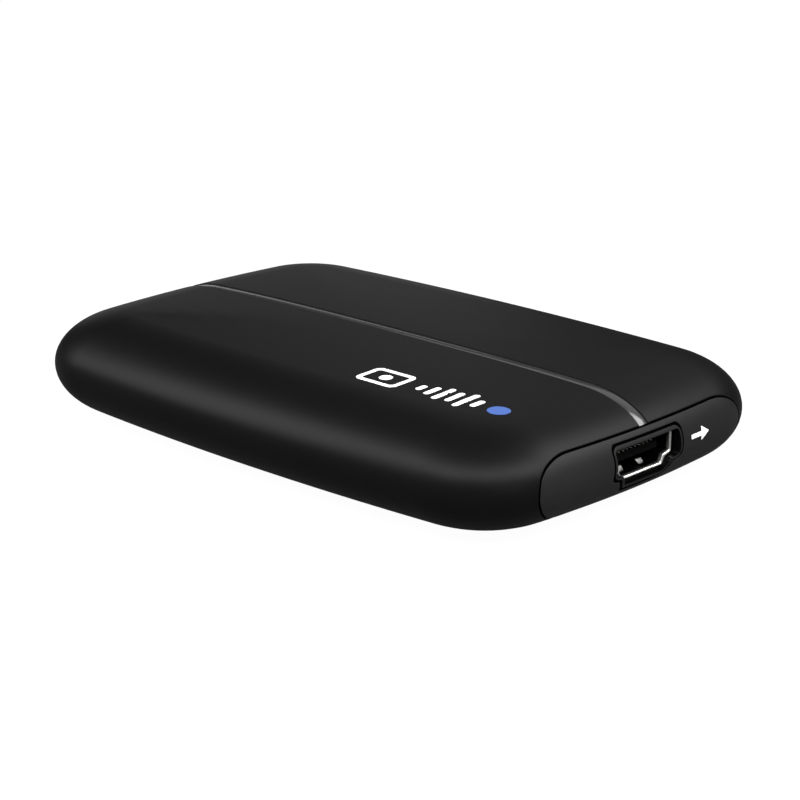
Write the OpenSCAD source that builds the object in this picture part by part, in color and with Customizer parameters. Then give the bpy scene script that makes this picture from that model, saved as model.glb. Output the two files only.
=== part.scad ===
// Video capture box: pillow-shaped housing, end plates with sockets, light guide and circuit board.
// Millimetres. X is the long axis (+X is the output end), Z is up, z = 0 is the surface it stands on.

/* [Body] */
// Length over both ends
body_l = 112; // [100:1:130]
// Width over both long sides
body_w = 75; // [68:1:86]
// Height from the standing surface to the top
body_h = 19; // [18.4:0.2:24]
// Wall thickness of the moulded shells
wall = 1.8; // [1.5:0.1:2.2]
// Radius of the bowed short ends in plan
end_bow_r = 220; // [180:5:400]
// Radius of the bowed long sides in plan
side_bow_r = 520; // [400:10:900]
// How far the upper edge rounding reaches in from the outline
top_round = 14; // [11:0.5:15]
// How far the lower edge rounding reaches in from the outline
bottom_round = 15; // [13:0.5:16]
// Rise of the domed top inside its edge rounding
crown = 0.6; // [0.3:0.1:1.2]
// Share of the body height that lies below its widest line
equator_share = 0.505; // [0.48:0.005:0.53]

/* [Bottom] */
// Height of the feet below the bottom cover
foot_stand = 0.6; // [0.4:0.1:1]
// Foot radius
foot_r = 4.5; // [3.5:0.25:5]
// Depth of the recess that a foot is bonded in
foot_sink = 0.9; // [0.6:0.1:1]
// Distance of the cover's seam from the body outline
cover_inset = 11; // [10:0.5:12]
// Width of the ledge that the cover is seated on
cover_ledge = 1.5; // [1:0.25:2]

/* [End plates] */
// Half width of an end plate
plate_half = 24.6; // [23.6:0.2:26]
// Height of an end plate above the widest line
plate_rise = 4.3; // [3.9:0.1:4.6]
// Gap between an end plate and the housing
seam = 0.25; // [0.15:0.05:0.35]

/* [Light guide] */
// Width of the groove along the top
groove_w = 2.2; // [1.8:0.1:3]
// Depth of the groove
groove_depth = 1.2; // [1:0.1:1.3]
// How far the light guide lies below the top surface
guide_sink = 0.15; // [0.1:0.05:0.6]
// Distance of the outer light posts from the middle
light_reach = 29; // [26:0.5:31]

/* [Sockets] */
// Distance of a video socket's mouth from the body's end
mouth_sink = 1.7; // [1.5:0.1:2.5]
// Length of a video socket
video_depth = 11.5; // [10.5:0.5:13]
// Side position of the video output socket
video_out_y = -0.8; // [-1.5:0.1:0]
// Side position of the video input socket
video_in_y = 8; // [7.5:0.25:9]
// Side position of the data socket
data_y = -7.5; // [-8.5:0.25:-7]
// Side position of the audio jack
audio_y = -17.6; // [-18:0.1:-17]
// Radius of the audio jack's bore
audio_bore_r = 1.8; // [1.75:0.01:1.85]
// Depth of the audio jack's bore
audio_bore_l = 13; // [12:0.5:13.5]

/* [Board] */
// Board thickness
board_t = 1.6; // [1.2:0.1:1.8]
// Gap between the board's edge and the inner wall
board_gap = 0.6; // [0.4:0.1:1]
// Side length of the video processor
processor_w = 17; // [14:0.5:19]
// Height of the heat sink
heat_sink_h = 6.5; // [4:0.5:7]

/* [Hidden] */
fit = 0.05;
// How far a cut runs past the surface it opens
over = 1;
// Side slack of a hole around a screw or a leg
slack = 0.2;
// Body levels
body_z = foot_stand;
equator_z = body_z + (body_h - body_z) * equator_share;
rim_z = body_h - crown;
floor_z = body_z + wall;
roof_z = rim_z - wall / 2;
corner_spare = 0.6;
corner_r = bottom_round + wall + corner_spare;
rim_angle = 86;
end_steps = 6;
corner_steps = 7;
side_steps = 6;
outer_steps = 10;
inner_steps = 6;
// Corner circle, tangent to the end bow and the side bow
end_centre = [body_l / 2 - end_bow_r, 0];
side_centre = [0, body_w / 2 - side_bow_r];
end_reach = end_bow_r - corner_r;
side_reach = side_bow_r - corner_r;
centre_gap = norm(side_centre - end_centre);
along = (end_reach * end_reach - side_reach * side_reach + centre_gap * centre_gap) / (2 * centre_gap);
across = sqrt(end_reach * end_reach - along * along);
between = (side_centre - end_centre) / centre_gap;
corner_a = end_centre + between * along + [-between[1], between[0]] * across;
corner_b = end_centre + between * along - [-between[1], between[0]] * across;
corner_centre = corner_a[1] > corner_b[1] ? corner_a : corner_b;
end_angle = atan2(corner_centre[1] - end_centre[1], corner_centre[0] - end_centre[0]);
side_angle = atan2(corner_centre[1] - side_centre[1], corner_centre[0] - side_centre[0]);
// Video socket cross-section, inside the metal shell
video_half = 7;
video_h = 4.55;
video_step_z = 1.35;
video_step_half = 5.45;
video_low_half = 4.85;
metal = 0.3;
solder = 0.05;
video_drop = 0.3;
video_floor = equator_z - video_drop - video_h / 2;
mouth_x = body_l / 2 - mouth_sink;
tongue_half = 5.4;
tongue_z = 2.1;
tongue_t = 1.2;
tongue_sink = 1.4;
video_block = 3;
video_leg_x = 6.2;
video_leg_step = 4.4;
leg_w = 1.6;
leg_out = 0.5;
video_count = 19;
video_pitch = 0.5;
contact_w = 0.3;
contact_t = 0.12;
contact_short = 0.3;
contact_drop = 0.3;
tail = 0.9;
// Spring fingers in the floor of a video shell, lengths back from the mouth
finger_y = 2.5;
finger_w = 2;
finger_slot = 0.3;
finger_root = 6.5;
finger_bend = 5.6;
finger_peak = 3.2;
finger_tip = 1.8;
finger_rise = 0.7;
finger_tip_rise = 0.2;
finger_slot_end = 1.1;
// Surround frame of a video socket
surround_side = 1.2;
surround_top = 1.2;
surround_bottom = 0.85;
surround_low = 0.8;
surround_foot = 1.35;
surround_lean = 0.25;
surround_r = 1.2;
surround_bore = 0.55;
surround_flange = 0.8;
flange_depth = 6;
flange_x = body_l / 2 - flange_depth;
flange_t = 1;
lip_depth = 1;
lip_flare = 0.3;
lip_flare_bottom = 0.15;
lip_flare_low = 0.1;
lip_foot = 0.85;
// Board levels
board_top = video_floor - metal - solder;
board_z = board_top - board_t;
board_sine = (equator_z - board_z) / (equator_z - floor_z);
board_inset = wall + bottom_round * (1 - sqrt(1 - board_sine * board_sine)) + board_gap;
// Data socket, oval
data_w = 8.94;
data_h = 3.26;
data_depth = 10.5;
data_sink = 0.9;
data_x = body_l / 2 - data_sink;
data_z = board_top + solder + data_h / 2;
data_tongue_w = 6.69;
data_tongue_t = 0.7;
data_block = 3.4;
data_tongue_sink = 0.6;
data_count = 12;
data_contact_w = 0.25;
data_contact_t = 0.08;
data_leg_x = 8.2;
data_drop_far = 0.7;
data_drop_near = 0.25;
data_foot_near = 0.3;
// Audio jack
audio_body_l = 12;
audio_body_w = 6.2;
audio_body_h = 5;
audio_barrel_r = 2.5;
audio_barrel_l = 3.8;
audio_sink = 1.3;
audio_x = body_l / 2 - audio_sink;
audio_z = board_top + audio_body_h / 2;
audio_pocket = 0.5;
audio_terminals = 3;
audio_terminal_w = 1.4;
audio_terminal_t = 0.25;
audio_terminal_step = 3;
audio_terminal_x = 3.5;
audio_terminal_short = 1.6;
audio_terminal_foot = 1.2;
audio_pocket_w = 1;
// Posts, screws and feet
foot_margin_x = 3.5;
foot_margin_y = 1.8;
post_x = body_l / 2 - bottom_round - foot_r - foot_margin_x;
post_y = body_w / 2 - bottom_round - foot_r - foot_margin_y;
post_r = 2.7;
screw_r = 1;
screw_head_r = 1.9;
screw_head_h = 1.3;
screw_grip = 1.2;
screw_bite = 5.5;
drive_w = 0.45;
drive_l = 2;
drive_depth = 0.7;
foot_top = body_z + foot_sink;
head_gap = 0.1;
head_top = foot_top + head_gap + screw_head_h;
post_z = head_top + screw_grip;
boss_r = 3.4;
gusset = 2;
gusset_root = 0.4;
gusset_edge = 0.2;
gusset_clear = 4;
standoff_x = 18;
standoff_margin = 4.5;
standoff_y = body_w / 2 - cover_inset - cover_ledge - standoff_margin;
standoff_r = 2.4;
board_screw_bite = 3;
board_hole_r = screw_r + slack;
foot_edge = 0.5;
foot_soft = 0.15;
post_gap = 0.6;
// Cover
ledge_gap = 0.1;
ledge_z = body_z + wall / 2 + ledge_gap;
edge_angle = acos(1 - cover_inset / bottom_round);
cover_z = equator_z - (equator_z - body_z) * sin(edge_angle);
// End plate outline
plate_top = equator_z + plate_rise;
plate_z = floor_z + ledge_gap;
plate_upper_y = 7.5;
plate_upper_power = 2.4;
plate_lower_y = 12.6;
plate_drop = 0.35;
plate_mid_z = equator_z - plate_drop;
plate_steps = 9;
window_depth = 9.5;
window_x = body_l / 2 - window_depth;
hook_margin = 2.6;
hook_y = plate_half - hook_margin;
hook_t = 1.4;
hook_h = 4;
hook_depth = 5.2;
hook_x = body_l / 2 - hook_depth;
hook_l = 2.4;
hook_out = 1.6;
rib_l = 1;
rib_w = 1.2;
rib_depth = 4.9;
rib_lean = 2.6;
rib_spread = 0.2;
rib_close = 0.4;
// Light guide
guide_w = groove_w - 2 * fit;
guide_end_z = plate_top + seam;
post_l = 4;
led_h = 0.7;
led_l = 1.6;
led_w = 0.8;
light_x = [-light_reach, 0, light_reach];
led_gap = 0.3;
light_post_z = board_top + led_h + led_gap;
// Board parts
processor_h = 1.3;
pad_t = 0.5;
pad_in = 1;
pad_w = processor_w - pad_in;
processor_x = 2;
sink_spare = 6;
guide_clear = 1.6;
sink_w = processor_w + sink_spare;
processor_y = groove_w / 2 + guide_clear + sink_w / 2;
sink_base = 1.5;
fin_t = 1;
fin_count = 7;
chip_h = 1.1;
mark_in = 1;
mark_r = 0.4;
mark_depth = 0.1;
receiver_at = [-20, 8];
splitter_at = [24, 7];
splitter_w = 9;
bridge_at = [-18, -8];
bridge_w = 10;
memory_w = 8;
memory_l = 12;
flash_at = [20, -6];
flash_w = 5;
flash_l = 4;
flash_h = 1.6;
codec_at = [-post_x - 1, -5];
codec_w = 5;
crystal_size = [2.5, 3.2, 0.8];
crystal_places = [[-12, -19], [17, -12]];
inductor_size = [4.4, 4.4, 3];
inductor_step = 6.6;
inductor_x = post_x + 7;
inductor_y = post_y - inductor_size[1] / 2;
inductor_places = [[inductor_x, -inductor_y], [inductor_x, -inductor_y - inductor_step],
    [inductor_x, inductor_y]];
capacitor_size = [3.5, 2.8, 1.9];
capacitor_gap = 0.5;
capacitor_y = post_y - post_r - post_gap - capacitor_gap - capacitor_size[1] / 2;
capacitor_step = 4;
capacitor_places = [for (k = [0 : 2], side = [-1, 1])
    [side * post_x, -side * (capacitor_y - capacitor_step * k)]];
passive_size = [1, 0.5, 0.5];
passive_step = 2;
passive_count = 6;
passive_rows = [-3, -20.5];
passive_places = [for (k = [0 : passive_count - 1], y = passive_rows)
    [processor_x + (k - (passive_count - 1) / 2) * passive_step, y]];

// Points of an arc about a centre, without its last point, moved on by a share of a step
function arc(centre, r, from, to, steps, shift) =
    [for (i = [0 : steps - 1])
        let (a = from + (to - from) * (i + shift) / steps)
        centre + r * [cos(a), sin(a)]];

// Plan outline of the body, moved in by a distance
function outline(inset, shift = 0) =
    let (e = end_bow_r - inset, s = side_bow_r - inset, c = corner_r - inset,
        p = corner_centre, q = [-p[0], p[1]])
    concat(
        arc(end_centre, e, -end_angle, end_angle, end_steps, shift),
        arc(p, c, end_angle, side_angle, corner_steps, shift),
        arc(side_centre, s, side_angle, 180 - side_angle, side_steps, shift),
        arc(q, c, 180 - side_angle, 180 - end_angle, corner_steps, shift),
        arc(-end_centre, e, 180 - end_angle, 180 + end_angle, end_steps, shift),
        arc(-p, c, 180 + end_angle, 180 + side_angle, corner_steps, shift),
        arc(-side_centre, s, 180 + side_angle, 360 - side_angle, side_steps, shift),
        arc(-q, c, 360 - side_angle, 360 - end_angle, corner_steps, shift));

// Inset and height of the edge rounding at an angle above or below the widest line
function upper_level(a, shrink) =
    [shrink + top_round * (1 - cos(a)), equator_z + (rim_z - shrink - equator_z) * sin(a) / sin(rim_angle)];
function lower_level(a, shrink) =
    [shrink + bottom_round * (1 - cos(a)), equator_z - (equator_z - body_z - shrink) * sin(a)];
function lift(points, z) = [for (p = points) [p[0], p[1], z]];

// Rings of the pillow from its flat bottom to its domed top
function body_rings(shrink, steps) =
    let (rim = upper_level(rim_angle, shrink))
    concat(
        [for (i = [0 : steps])
            let (v = lower_level(90 - 90 * i / steps, shrink))
            lift(outline(v[0]), v[1])],
        [for (i = [1 : steps])
            let (v = upper_level(rim_angle * i / steps, shrink))
            lift(outline(v[0]), v[1])],
        [for (k = [0.7, 0.35]) lift(outline(rim[0]) * k, body_h - shrink - crown * k * k)]);

module loft(rings) {
    n = len(rings[0]);
    last = len(rings) - 1;
    polyhedron(
        points = [for (r = rings) each r],
        faces = concat(
            [[for (j = [0 : n - 1]) j]],
            [[for (j = [0 : n - 1]) last * n + n - 1 - j]],
            [for (i = [0 : last - 1], j = [0 : n - 1])
                [i * n + j, (i + 1) * n + j, (i + 1) * n + (j + 1) % n, i * n + (j + 1) % n]]),
        convexity = 4);
}

// Solid pillow, its surface moved in by a distance
module pillow(shrink, steps) {
    loft(body_rings(shrink, steps));
}

module slab(inset, z, h, shift = 0.5) {
    translate([0, 0, z])
        linear_extrude(height = h)
            polygon(outline(inset, shift));
}

// Extrudes a drawing of the end view along X
module along_x(x, l) {
    translate([x, 0, 0])
        rotate([90, 0, 90])
            linear_extrude(height = l)
                children();
}

// Extrudes a drawing of the side view along Y, centred
module along_y(y, w) {
    translate([0, y + w / 2, 0])
        rotate([90, 0, 0])
            linear_extrude(height = w)
                children();
}

module at_corners(x, y) {
    for (sx = [-1, 1], sy = [-1, 1])
        translate([sx * x, sy * y, 0])
            children();
}

// Corner arc of an end plate in the end view
function plate_corner(cy, cz, ry, rz, power, from, to) =
    [for (i = [0 : plate_steps])
        let (a = from + (to - from) * i / plate_steps)
        [cy + sign(cos(a)) * ry * pow(abs(cos(a)), 2 / power),
            cz + sign(sin(a)) * rz * pow(abs(sin(a)), 2 / power)]];
function plate_outline(grow) =
    let (uy = plate_half - plate_upper_y, ly = plate_half - plate_lower_y,
        ury = plate_upper_y + grow, urz = plate_top - plate_mid_z + grow,
        lry = plate_lower_y + grow, lrz = plate_mid_z - plate_z + grow)
    concat(
        plate_corner(uy, plate_mid_z, ury, urz, plate_upper_power, 0, 90),
        plate_corner(-uy, plate_mid_z, ury, urz, plate_upper_power, 90, 180),
        plate_corner(-ly, plate_mid_z, lry, lrz, 2, 180, 270),
        plate_corner(ly, plate_mid_z, lry, lrz, 2, 270, 360));

// Cross-section of a video socket: wide above, stepped in below, with its floor lowered by a foot
module video_shape(side, top, bottom, low, r, foot = 0) {
    translate([0, video_floor])
        union() {
            hull()
                for (s = [-1, 1])
                    translate([s * (video_half + side - r), 0]) {
                        translate([0, video_h + top - r])
                            circle(r = r, $fn = 24);
                        translate([0, video_step_z - bottom + r])
                            circle(r = r, $fn = 24);
                    }
            hull()
                for (s = [-1, 1]) {
                    translate([s * (video_step_half + low - r), video_step_z + 2 * r])
                        circle(r = r, $fn = 24);
                    translate([s * (video_low_half + low - surround_lean * foot - r), r - bottom - foot])
                        circle(r = r, $fn = 24);
                }
        }
}

module oval(w, h) {
    hull()
        for (s = [-1, 1])
            translate([s * (w - h) / 2, 0])
                circle(d = h, $fn = 32);
}

// Tapered gusset standing on a floor, leaning on a post in direction a
module gusset_rib(a, r, z, h, reach) {
    rotate([0, 0, a])
        hull() {
            translate([r - gusset_root, -rib_w / 2, z])
                cube([gusset_root + reach, rib_w, gusset_edge]);
            translate([r - gusset_root, -rib_w / 2, z])
                cube([gusset_edge, rib_w, h]);
        }
}

// Drawing of the light guide's path in the side view, moved in by a distance
function guide_path(shrink) =
    let (rim = upper_level(rim_angle, shrink), half = body_l / 2 - rim[0])
    concat(
        [for (i = [0 : 2 * outer_steps]) let (v = upper_level(rim_angle * i / (2 * outer_steps), shrink))
            [body_l / 2 - v[0], v[1]]],
        [for (k = [0.7, 0.35, 0, -0.35, -0.7]) [half * k, body_h - shrink - crown * k * k]],
        [for (i = [0 : 2 * outer_steps])
            let (v = upper_level(rim_angle * (1 - i / (2 * outer_steps)), shrink))
            [v[0] - body_l / 2, v[1]]]);

module main_housing() color("#202022") difference() {
    union() {
        difference() {
            pillow(0, outer_steps);
            pillow(wall, inner_steps);
        }
        // Screw posts hang from the roof, each with two gussets
        at_corners(post_x, post_y) {
            translate([0, 0, post_z])
                cylinder(r = post_r, h = roof_z - post_z, $fn = 32);
            for (a = [0, 180])
                translate([0, 0, roof_z])
                    mirror([0, 0, 1])
                        gusset_rib(a, post_r, 0, roof_z - board_top - gusset_clear, gusset);
        }
    }
    // Bottom opening with its ledge
    slab(cover_inset, -over, over + ledge_z);
    slab(cover_inset + cover_ledge, ledge_z - ledge_gap, wall);
    // End windows
    along_x(window_x, body_l)
        polygon(plate_outline(seam));
    along_x(-window_x - body_l, body_l)
        polygon(plate_outline(seam));
    // Groove along the top, with windows for the light posts
    difference() {
        translate([-body_l, -groove_w / 2, plate_top])
            cube([2 * body_l, groove_w, body_h]);
        pillow(groove_depth, inner_steps);
    }
    for (x = light_x)
        translate([x - post_l / 2 - fit, -guide_w / 2 - fit, rim_z - 2 * wall])
            cube([post_l + 2 * fit, guide_w + 2 * fit, 3 * wall]);
    at_corners(post_x, post_y)
        translate([0, 0, post_z - over])
            cylinder(r = screw_r + fit, h = over + screw_bite + slack, $fn = 24);
}

module bottom_cover() color("#1c1c1e") difference() {
    union() {
        loft([for (k = [1, 0.5, 0])
            let (v = lower_level(edge_angle + (90 - edge_angle) * k, 0))
            lift(outline(k == 0 ? cover_inset + seam : v[0]), v[1])]);
        slab(cover_inset + seam, cover_z, ledge_z - fit - cover_z, 0);
        slab(cover_inset + cover_ledge + seam, cover_z, floor_z - cover_z, 0);
        at_corners(post_x, post_y)
            translate([0, 0, cover_z])
                cylinder(r = boss_r, h = post_z - cover_z, $fn = 32);
        at_corners(standoff_x, standoff_y) {
            translate([0, 0, cover_z])
                cylinder(r = standoff_r, h = board_z - cover_z, $fn = 32);
            along_y(0, rib_w)
                polygon([[-standoff_r - gusset, cover_z], [standoff_r + gusset, cover_z],
                    [standoff_r / 2, board_z - rib_l], [-standoff_r / 2, board_z - rib_l]]);
        }
    }
    at_corners(post_x, post_y) {
        translate([0, 0, -over])
            cylinder(r = foot_r + fit, h = over + foot_top, $fn = 40);
        cylinder(r = screw_head_r + slack, h = head_top, $fn = 32);
        cylinder(r = screw_r + slack, h = body_h, $fn = 24);
    }
    at_corners(standoff_x, standoff_y)
        translate([0, 0, board_z - board_screw_bite - slack])
            cylinder(r = screw_r + fit, h = board_screw_bite + slack + over, $fn = 24);
}

// Curved skin of an end plate on the +X end, with hooks that catch behind the housing wall
module plate_blank() {
    intersection() {
        difference() {
            pillow(0, outer_steps);
            pillow(wall, inner_steps);
        }
        along_x(window_x + wall, body_l)
            polygon(plate_outline(0));
    }
    for (s = [-1, 1]) {
        intersection() {
            pillow(wall / 2, inner_steps);
            translate([hook_x - hook_l, s * hook_y - hook_t / 2, equator_z - hook_h / 2])
                cube([body_l, hook_t, hook_h]);
        }
        hull() {
            translate([hook_x - hook_l, s * hook_y - hook_t / 2, equator_z - hook_h / 2])
                cube([hook_l, hook_t, hook_h]);
            translate([hook_x - hook_l / 3, s * (hook_y + hook_out) - hook_t / 2, equator_z - hook_h / 2])
                cube([hook_l / 3, hook_t, hook_h]);
        }
        // Tapered stiffening ribs inside the plate, above and below the hooks' roots
        for (r = [-1, 1])
            intersection() {
                pillow(wall / 2, inner_steps);
                hull() {
                    translate([body_l / 2 - rib_depth, s * hook_y - rib_w / 2,
                            equator_z + r * (hook_h / 2 + rib_spread) - rib_w / 2])
                        cube([rib_l, rib_w, rib_w]);
                    translate([body_l / 2 - rib_depth + rib_l, s * (hook_y - rib_lean) - rib_w / 2,
                            equator_z + r * (hook_h / 2 - rib_close) - rib_w / 2])
                        cube([body_l, rib_w, rib_w]);
                }
            }
    }
}

// Opening of an end plate around a socket frame
module surround_hole() {
    video_shape(surround_side + seam, surround_top + seam, surround_bottom + seam, surround_low + seam,
        surround_r, surround_foot);
}

module front_end_plate() color("#232325") difference() {
    plate_blank();
    translate([0, video_out_y, 0])
        along_x(window_x, body_l)
            surround_hole();
}

module rear_end_plate() color("#232325") difference() {
    mirror([1, 0, 0])
        plate_blank();
    translate([0, video_in_y, 0])
        along_x(-window_x - body_l, body_l)
            surround_hole();
    along_x(-window_x - body_l, body_l)
        translate([data_y, data_z])
            oval(data_w + 2 * seam, data_h + 2 * seam);
    along_x(-window_x - body_l, body_l)
        translate([audio_y, audio_z])
            circle(r = audio_barrel_r + seam, $fn = 40);
}

module light_guide() color("#3a3a3e") union() {
    intersection() {
        along_y(0, guide_w)
            polygon(concat(guide_path(guide_sink), reversed(guide_path(groove_depth - fit))));
        translate([-body_l, -body_w, guide_end_z])
            cube([2 * body_l, 2 * body_w, body_h]);
    }
    for (x = light_x)
        translate([x - post_l / 2, -guide_w / 2 + fit, light_post_z])
            cube([post_l, guide_w - 2 * fit, body_h - groove_depth + 3 * fit - light_post_z]);
}

function reversed(list) = [for (i = [len(list) - 1 : -1 : 0]) list[i]];

module rubber_feet() color("#141414") at_corners(post_x, post_y)
    rotate_extrude($fn = 48)
        polygon([[0, 0], [foot_r - foot_edge, 0], [foot_r - foot_soft, foot_soft], [foot_r, foot_edge],
            [foot_r, foot_top], [0, foot_top]]);

// Pan-head screw, head down, its shank pointing up
module screw(shank) {
    difference() {
        union() {
            cylinder(r = screw_head_r, h = screw_head_h, $fn = 32);
            cylinder(r = screw_r, h = screw_head_h + shank, $fn = 32);
        }
        for (a = [0, 90])
            rotate([0, 0, a])
                translate([-drive_l / 2, -drive_w / 2, -over])
                    cube([drive_l, drive_w, over + drive_depth]);
    }
}

module case_screws() color("#b8b8bc") at_corners(post_x, post_y)
    translate([0, 0, head_top - screw_head_h])
        screw(screw_grip + screw_bite);

module board_screws() color("#b8b8bc") at_corners(standoff_x, standoff_y)
    translate([0, 0, board_top + screw_head_h])
        mirror([0, 0, 1])
            screw(board_t + board_screw_bite);

module leg_slot(x, y) {
    translate([x - leg_w / 2 - slack, y - metal / 2 - slack, 0])
        cube([leg_w + 2 * slack, metal + 2 * slack, body_h]);
}

module main_board() color("#1d3b2a") difference() {
    slab(board_inset, board_z, board_t);
    at_corners(post_x, post_y)
        cylinder(r = post_r + post_gap, h = body_h, $fn = 40);
    at_corners(standoff_x, standoff_y)
        cylinder(r = board_hole_r, h = body_h, $fn = 32);
    for (s = [-1, 1], k = [0, 1]) {
        leg_slot(mouth_x - video_leg_x - k * video_leg_step, video_out_y + s * (video_half + metal / 2));
        leg_slot(-mouth_x + video_leg_x + k * video_leg_step, video_in_y + s * (video_half + metal / 2));
    }
    for (s = [-1, 1])
        leg_slot(-data_x + data_leg_x, data_y + s * (data_w - metal) / 2);
    // Edge notches for the socket frames
    frame_half = video_step_half + surround_low + 2 * seam;
    translate([flange_x - seam, video_out_y - frame_half, 0])
        cube([body_l, 2 * frame_half, body_h]);
    translate([seam - flange_x - body_l, video_in_y - frame_half, 0])
        cube([body_l, 2 * frame_half, body_h]);
}

// Moulded frame around a video socket, flush with the end plate
module surround_blank(y) {
    difference() {
        union() {
            intersection() {
                pillow(0, outer_steps);
                translate([0, y, 0])
                    along_x(flange_x - fit, body_l)
                        video_shape(surround_side, surround_top, surround_bottom, surround_low, surround_r,
                            surround_foot);
            }
            translate([0, y, 0])
                along_x(flange_x - flange_t, flange_t)
                    video_shape(surround_side + surround_flange, surround_top + surround_flange,
                        metal - 2 * fit, surround_low + surround_flange, surround_r);
        }
        translate([0, y, 0])
            along_x(flange_x - 2 * flange_t, body_l)
                video_shape(surround_bore, surround_bore, metal + fit, metal + fit, surround_r / 2);
        // Flared lip
        translate([0, y, 0])
            along_x(mouth_x + lip_depth, body_l)
                video_shape(surround_bore + lip_flare, surround_bore + lip_flare,
                    metal + fit + lip_flare_bottom, metal + fit + lip_flare_low, surround_r / 2, lip_foot);
    }
}

module video_out_surround() color("#232325")
    surround_blank(video_out_y);

module video_in_surround() color("#232325")
    mirror([1, 0, 0])
        surround_blank(video_in_y);

// Video socket parts are drawn with the mouth at x = 0, facing +X
module video_shell() {
    difference() {
        along_x(-video_depth, video_depth)
            video_shape(metal, metal, metal, metal, 2 * metal);
        along_x(-video_depth - over, video_depth + 2 * over)
            video_shape(0, 0, 0, 0, metal);
        for (s = [-1, 1])
            translate([slack - finger_root, s * finger_y - finger_w / 2 - finger_slot, video_floor - over])
                cube([finger_root - slack - finger_slot_end, finger_w + 2 * finger_slot, over + slack]);
    }
    // Spring fingers bent up from the floor
    for (s = [-1, 1])
        along_y(s * finger_y, finger_w)
            translate([0, video_floor])
                polygon([[-finger_root, -metal], [-finger_root, 0], [-finger_bend, 0],
                    [-finger_peak, finger_rise], [-finger_tip, finger_tip_rise],
                    [-finger_tip - fit, finger_tip_rise - metal / 2], [-finger_peak, finger_rise - metal],
                    [-finger_bend + fit, -metal]]);
    // Solder legs
    for (s = [-1, 1], k = [0, 1])
        translate([-video_leg_x - k * video_leg_step - leg_w / 2, s * (video_half + metal / 2) - metal / 2,
                board_z - leg_out])
            cube([leg_w, metal, video_floor + video_step_z + 2 * metal - board_z + leg_out]);
}

function contact_y(i) = (i - (video_count - 1) / 2) * video_pitch;

// Side view of one contact: along the tongue, through the block, down to the board
module contact_path(z, t, drop_x) {
    polygon([[-tongue_sink - contact_short, z], [-tongue_sink - contact_short, z + t], [-drop_x - t, z + t],
        [-drop_x - t, board_top + t], [-drop_x - tail, board_top + t], [-drop_x - tail, board_top],
        [-drop_x, board_top], [-drop_x, z]]);
}

module video_contact_row() {
    for (i = [0 : video_count - 1])
        along_y(contact_y(i), contact_w)
            contact_path(video_floor + (i % 2 == 0 ? tongue_z + tongue_t : tongue_z - contact_t), contact_t,
                video_depth + contact_drop);
}

module video_insulator() {
    difference() {
        union() {
            along_x(-video_depth, video_block)
                video_shape(-fit, -fit, -fit, -fit, metal);
            translate([-video_depth, -tongue_half, video_floor + tongue_z])
                cube([video_depth - tongue_sink, 2 * tongue_half, tongue_t]);
        }
        for (i = [0 : video_count - 1])
            translate([-video_depth - over, contact_y(i) - contact_w / 2 - fit / 2,
                    video_floor + (i % 2 == 0 ? tongue_z + tongue_t : tongue_z - contact_t - fit / 2)])
                cube([video_block + 2 * over, contact_w + fit, contact_t + fit / 2]);
    }
}

module at_video_out() {
    translate([mouth_x, video_out_y, 0])
        children();
}

module at_video_in() {
    translate([-mouth_x, video_in_y, 0])
        rotate([0, 0, 180])
            children();
}

module video_out_shell() color("#c0c0c4")
    at_video_out()
        video_shell();

module video_out_insulator() color("#101010")
    at_video_out()
        video_insulator();

module video_out_contacts() color("#d8b45a")
    at_video_out()
        video_contact_row();

module video_in_shell() color("#c0c0c4")
    at_video_in()
        video_shell();

module video_in_insulator() color("#101010")
    at_video_in()
        video_insulator();

module video_in_contacts() color("#d8b45a")
    at_video_in()
        video_contact_row();

module at_data() {
    translate([-data_x, data_y, data_z])
        rotate([0, 0, 180])
            children();
}

module data_shell() color("#c0c0c4") at_data() union() {
    difference() {
        along_x(-data_depth, data_depth)
            oval(data_w, data_h);
        along_x(-data_depth - over, data_depth + 2 * over)
            oval(data_w - 2 * metal, data_h - 2 * metal);
    }
    for (s = [-1, 1])
        translate([-data_leg_x - leg_w / 2, s * (data_w - metal) / 2 - metal / 2, board_z - leg_out - data_z])
            cube([leg_w, metal, data_z - board_z + leg_out]);
}

function data_contact_y(i) = (i - (data_count - 1) / 2) * video_pitch;

module data_tongue() color("#101010") at_data() difference() {
    union() {
        along_x(-data_depth, data_block)
            oval(data_w - 2 * metal - 2 * fit, data_h - 2 * metal - 2 * fit);
        translate([-data_depth, -data_tongue_w / 2, -data_tongue_t / 2])
            cube([data_depth - data_tongue_sink, data_tongue_w, data_tongue_t]);
    }
    for (i = [0 : data_count - 1], s = [-1, 1])
        translate([-data_depth - over, data_contact_y(i) - data_contact_w / 2 - fit / 2,
                s > 0 ? data_tongue_t / 2 : -data_tongue_t / 2 - data_contact_t - fit / 2])
            cube([data_block + 2 * over, data_contact_w + fit, data_contact_t + fit / 2]);
}

module data_contacts() color("#d8b45a") at_data() {
    floor_y = board_top - data_z;
    for (i = [0 : data_count - 1], s = [-1, 1]) {
        z = s > 0 ? data_tongue_t / 2 : -data_tongue_t / 2 - data_contact_t;
        drop = data_depth + (s > 0 ? data_drop_far : data_drop_near);
        foot = s > 0 ? tail : data_foot_near;
        tip = -data_tongue_sink - contact_short;
        top = z + data_contact_t;
        sole = floor_y + data_contact_t;
        along_y(data_contact_y(i), data_contact_w)
            polygon([[tip, z], [tip, top], [-drop - data_contact_t, top], [-drop - data_contact_t, sole],
                [-drop - foot, sole], [-drop - foot, floor_y], [-drop, floor_y], [-drop, z]]);
    }
}

module at_audio() {
    translate([-audio_x, audio_y, 0])
        rotate([0, 0, 180])
            children();
}

// Back edge of an audio terminal along the jack, and its side place for a thickness
function terminal_x(k) =
    -audio_barrel_l - audio_terminal_x - k * audio_terminal_step - audio_terminal_w / 2;
function terminal_y(s, t) =
    s * (audio_body_w / 2 - audio_pocket + t / 2) - t / 2;

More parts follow.
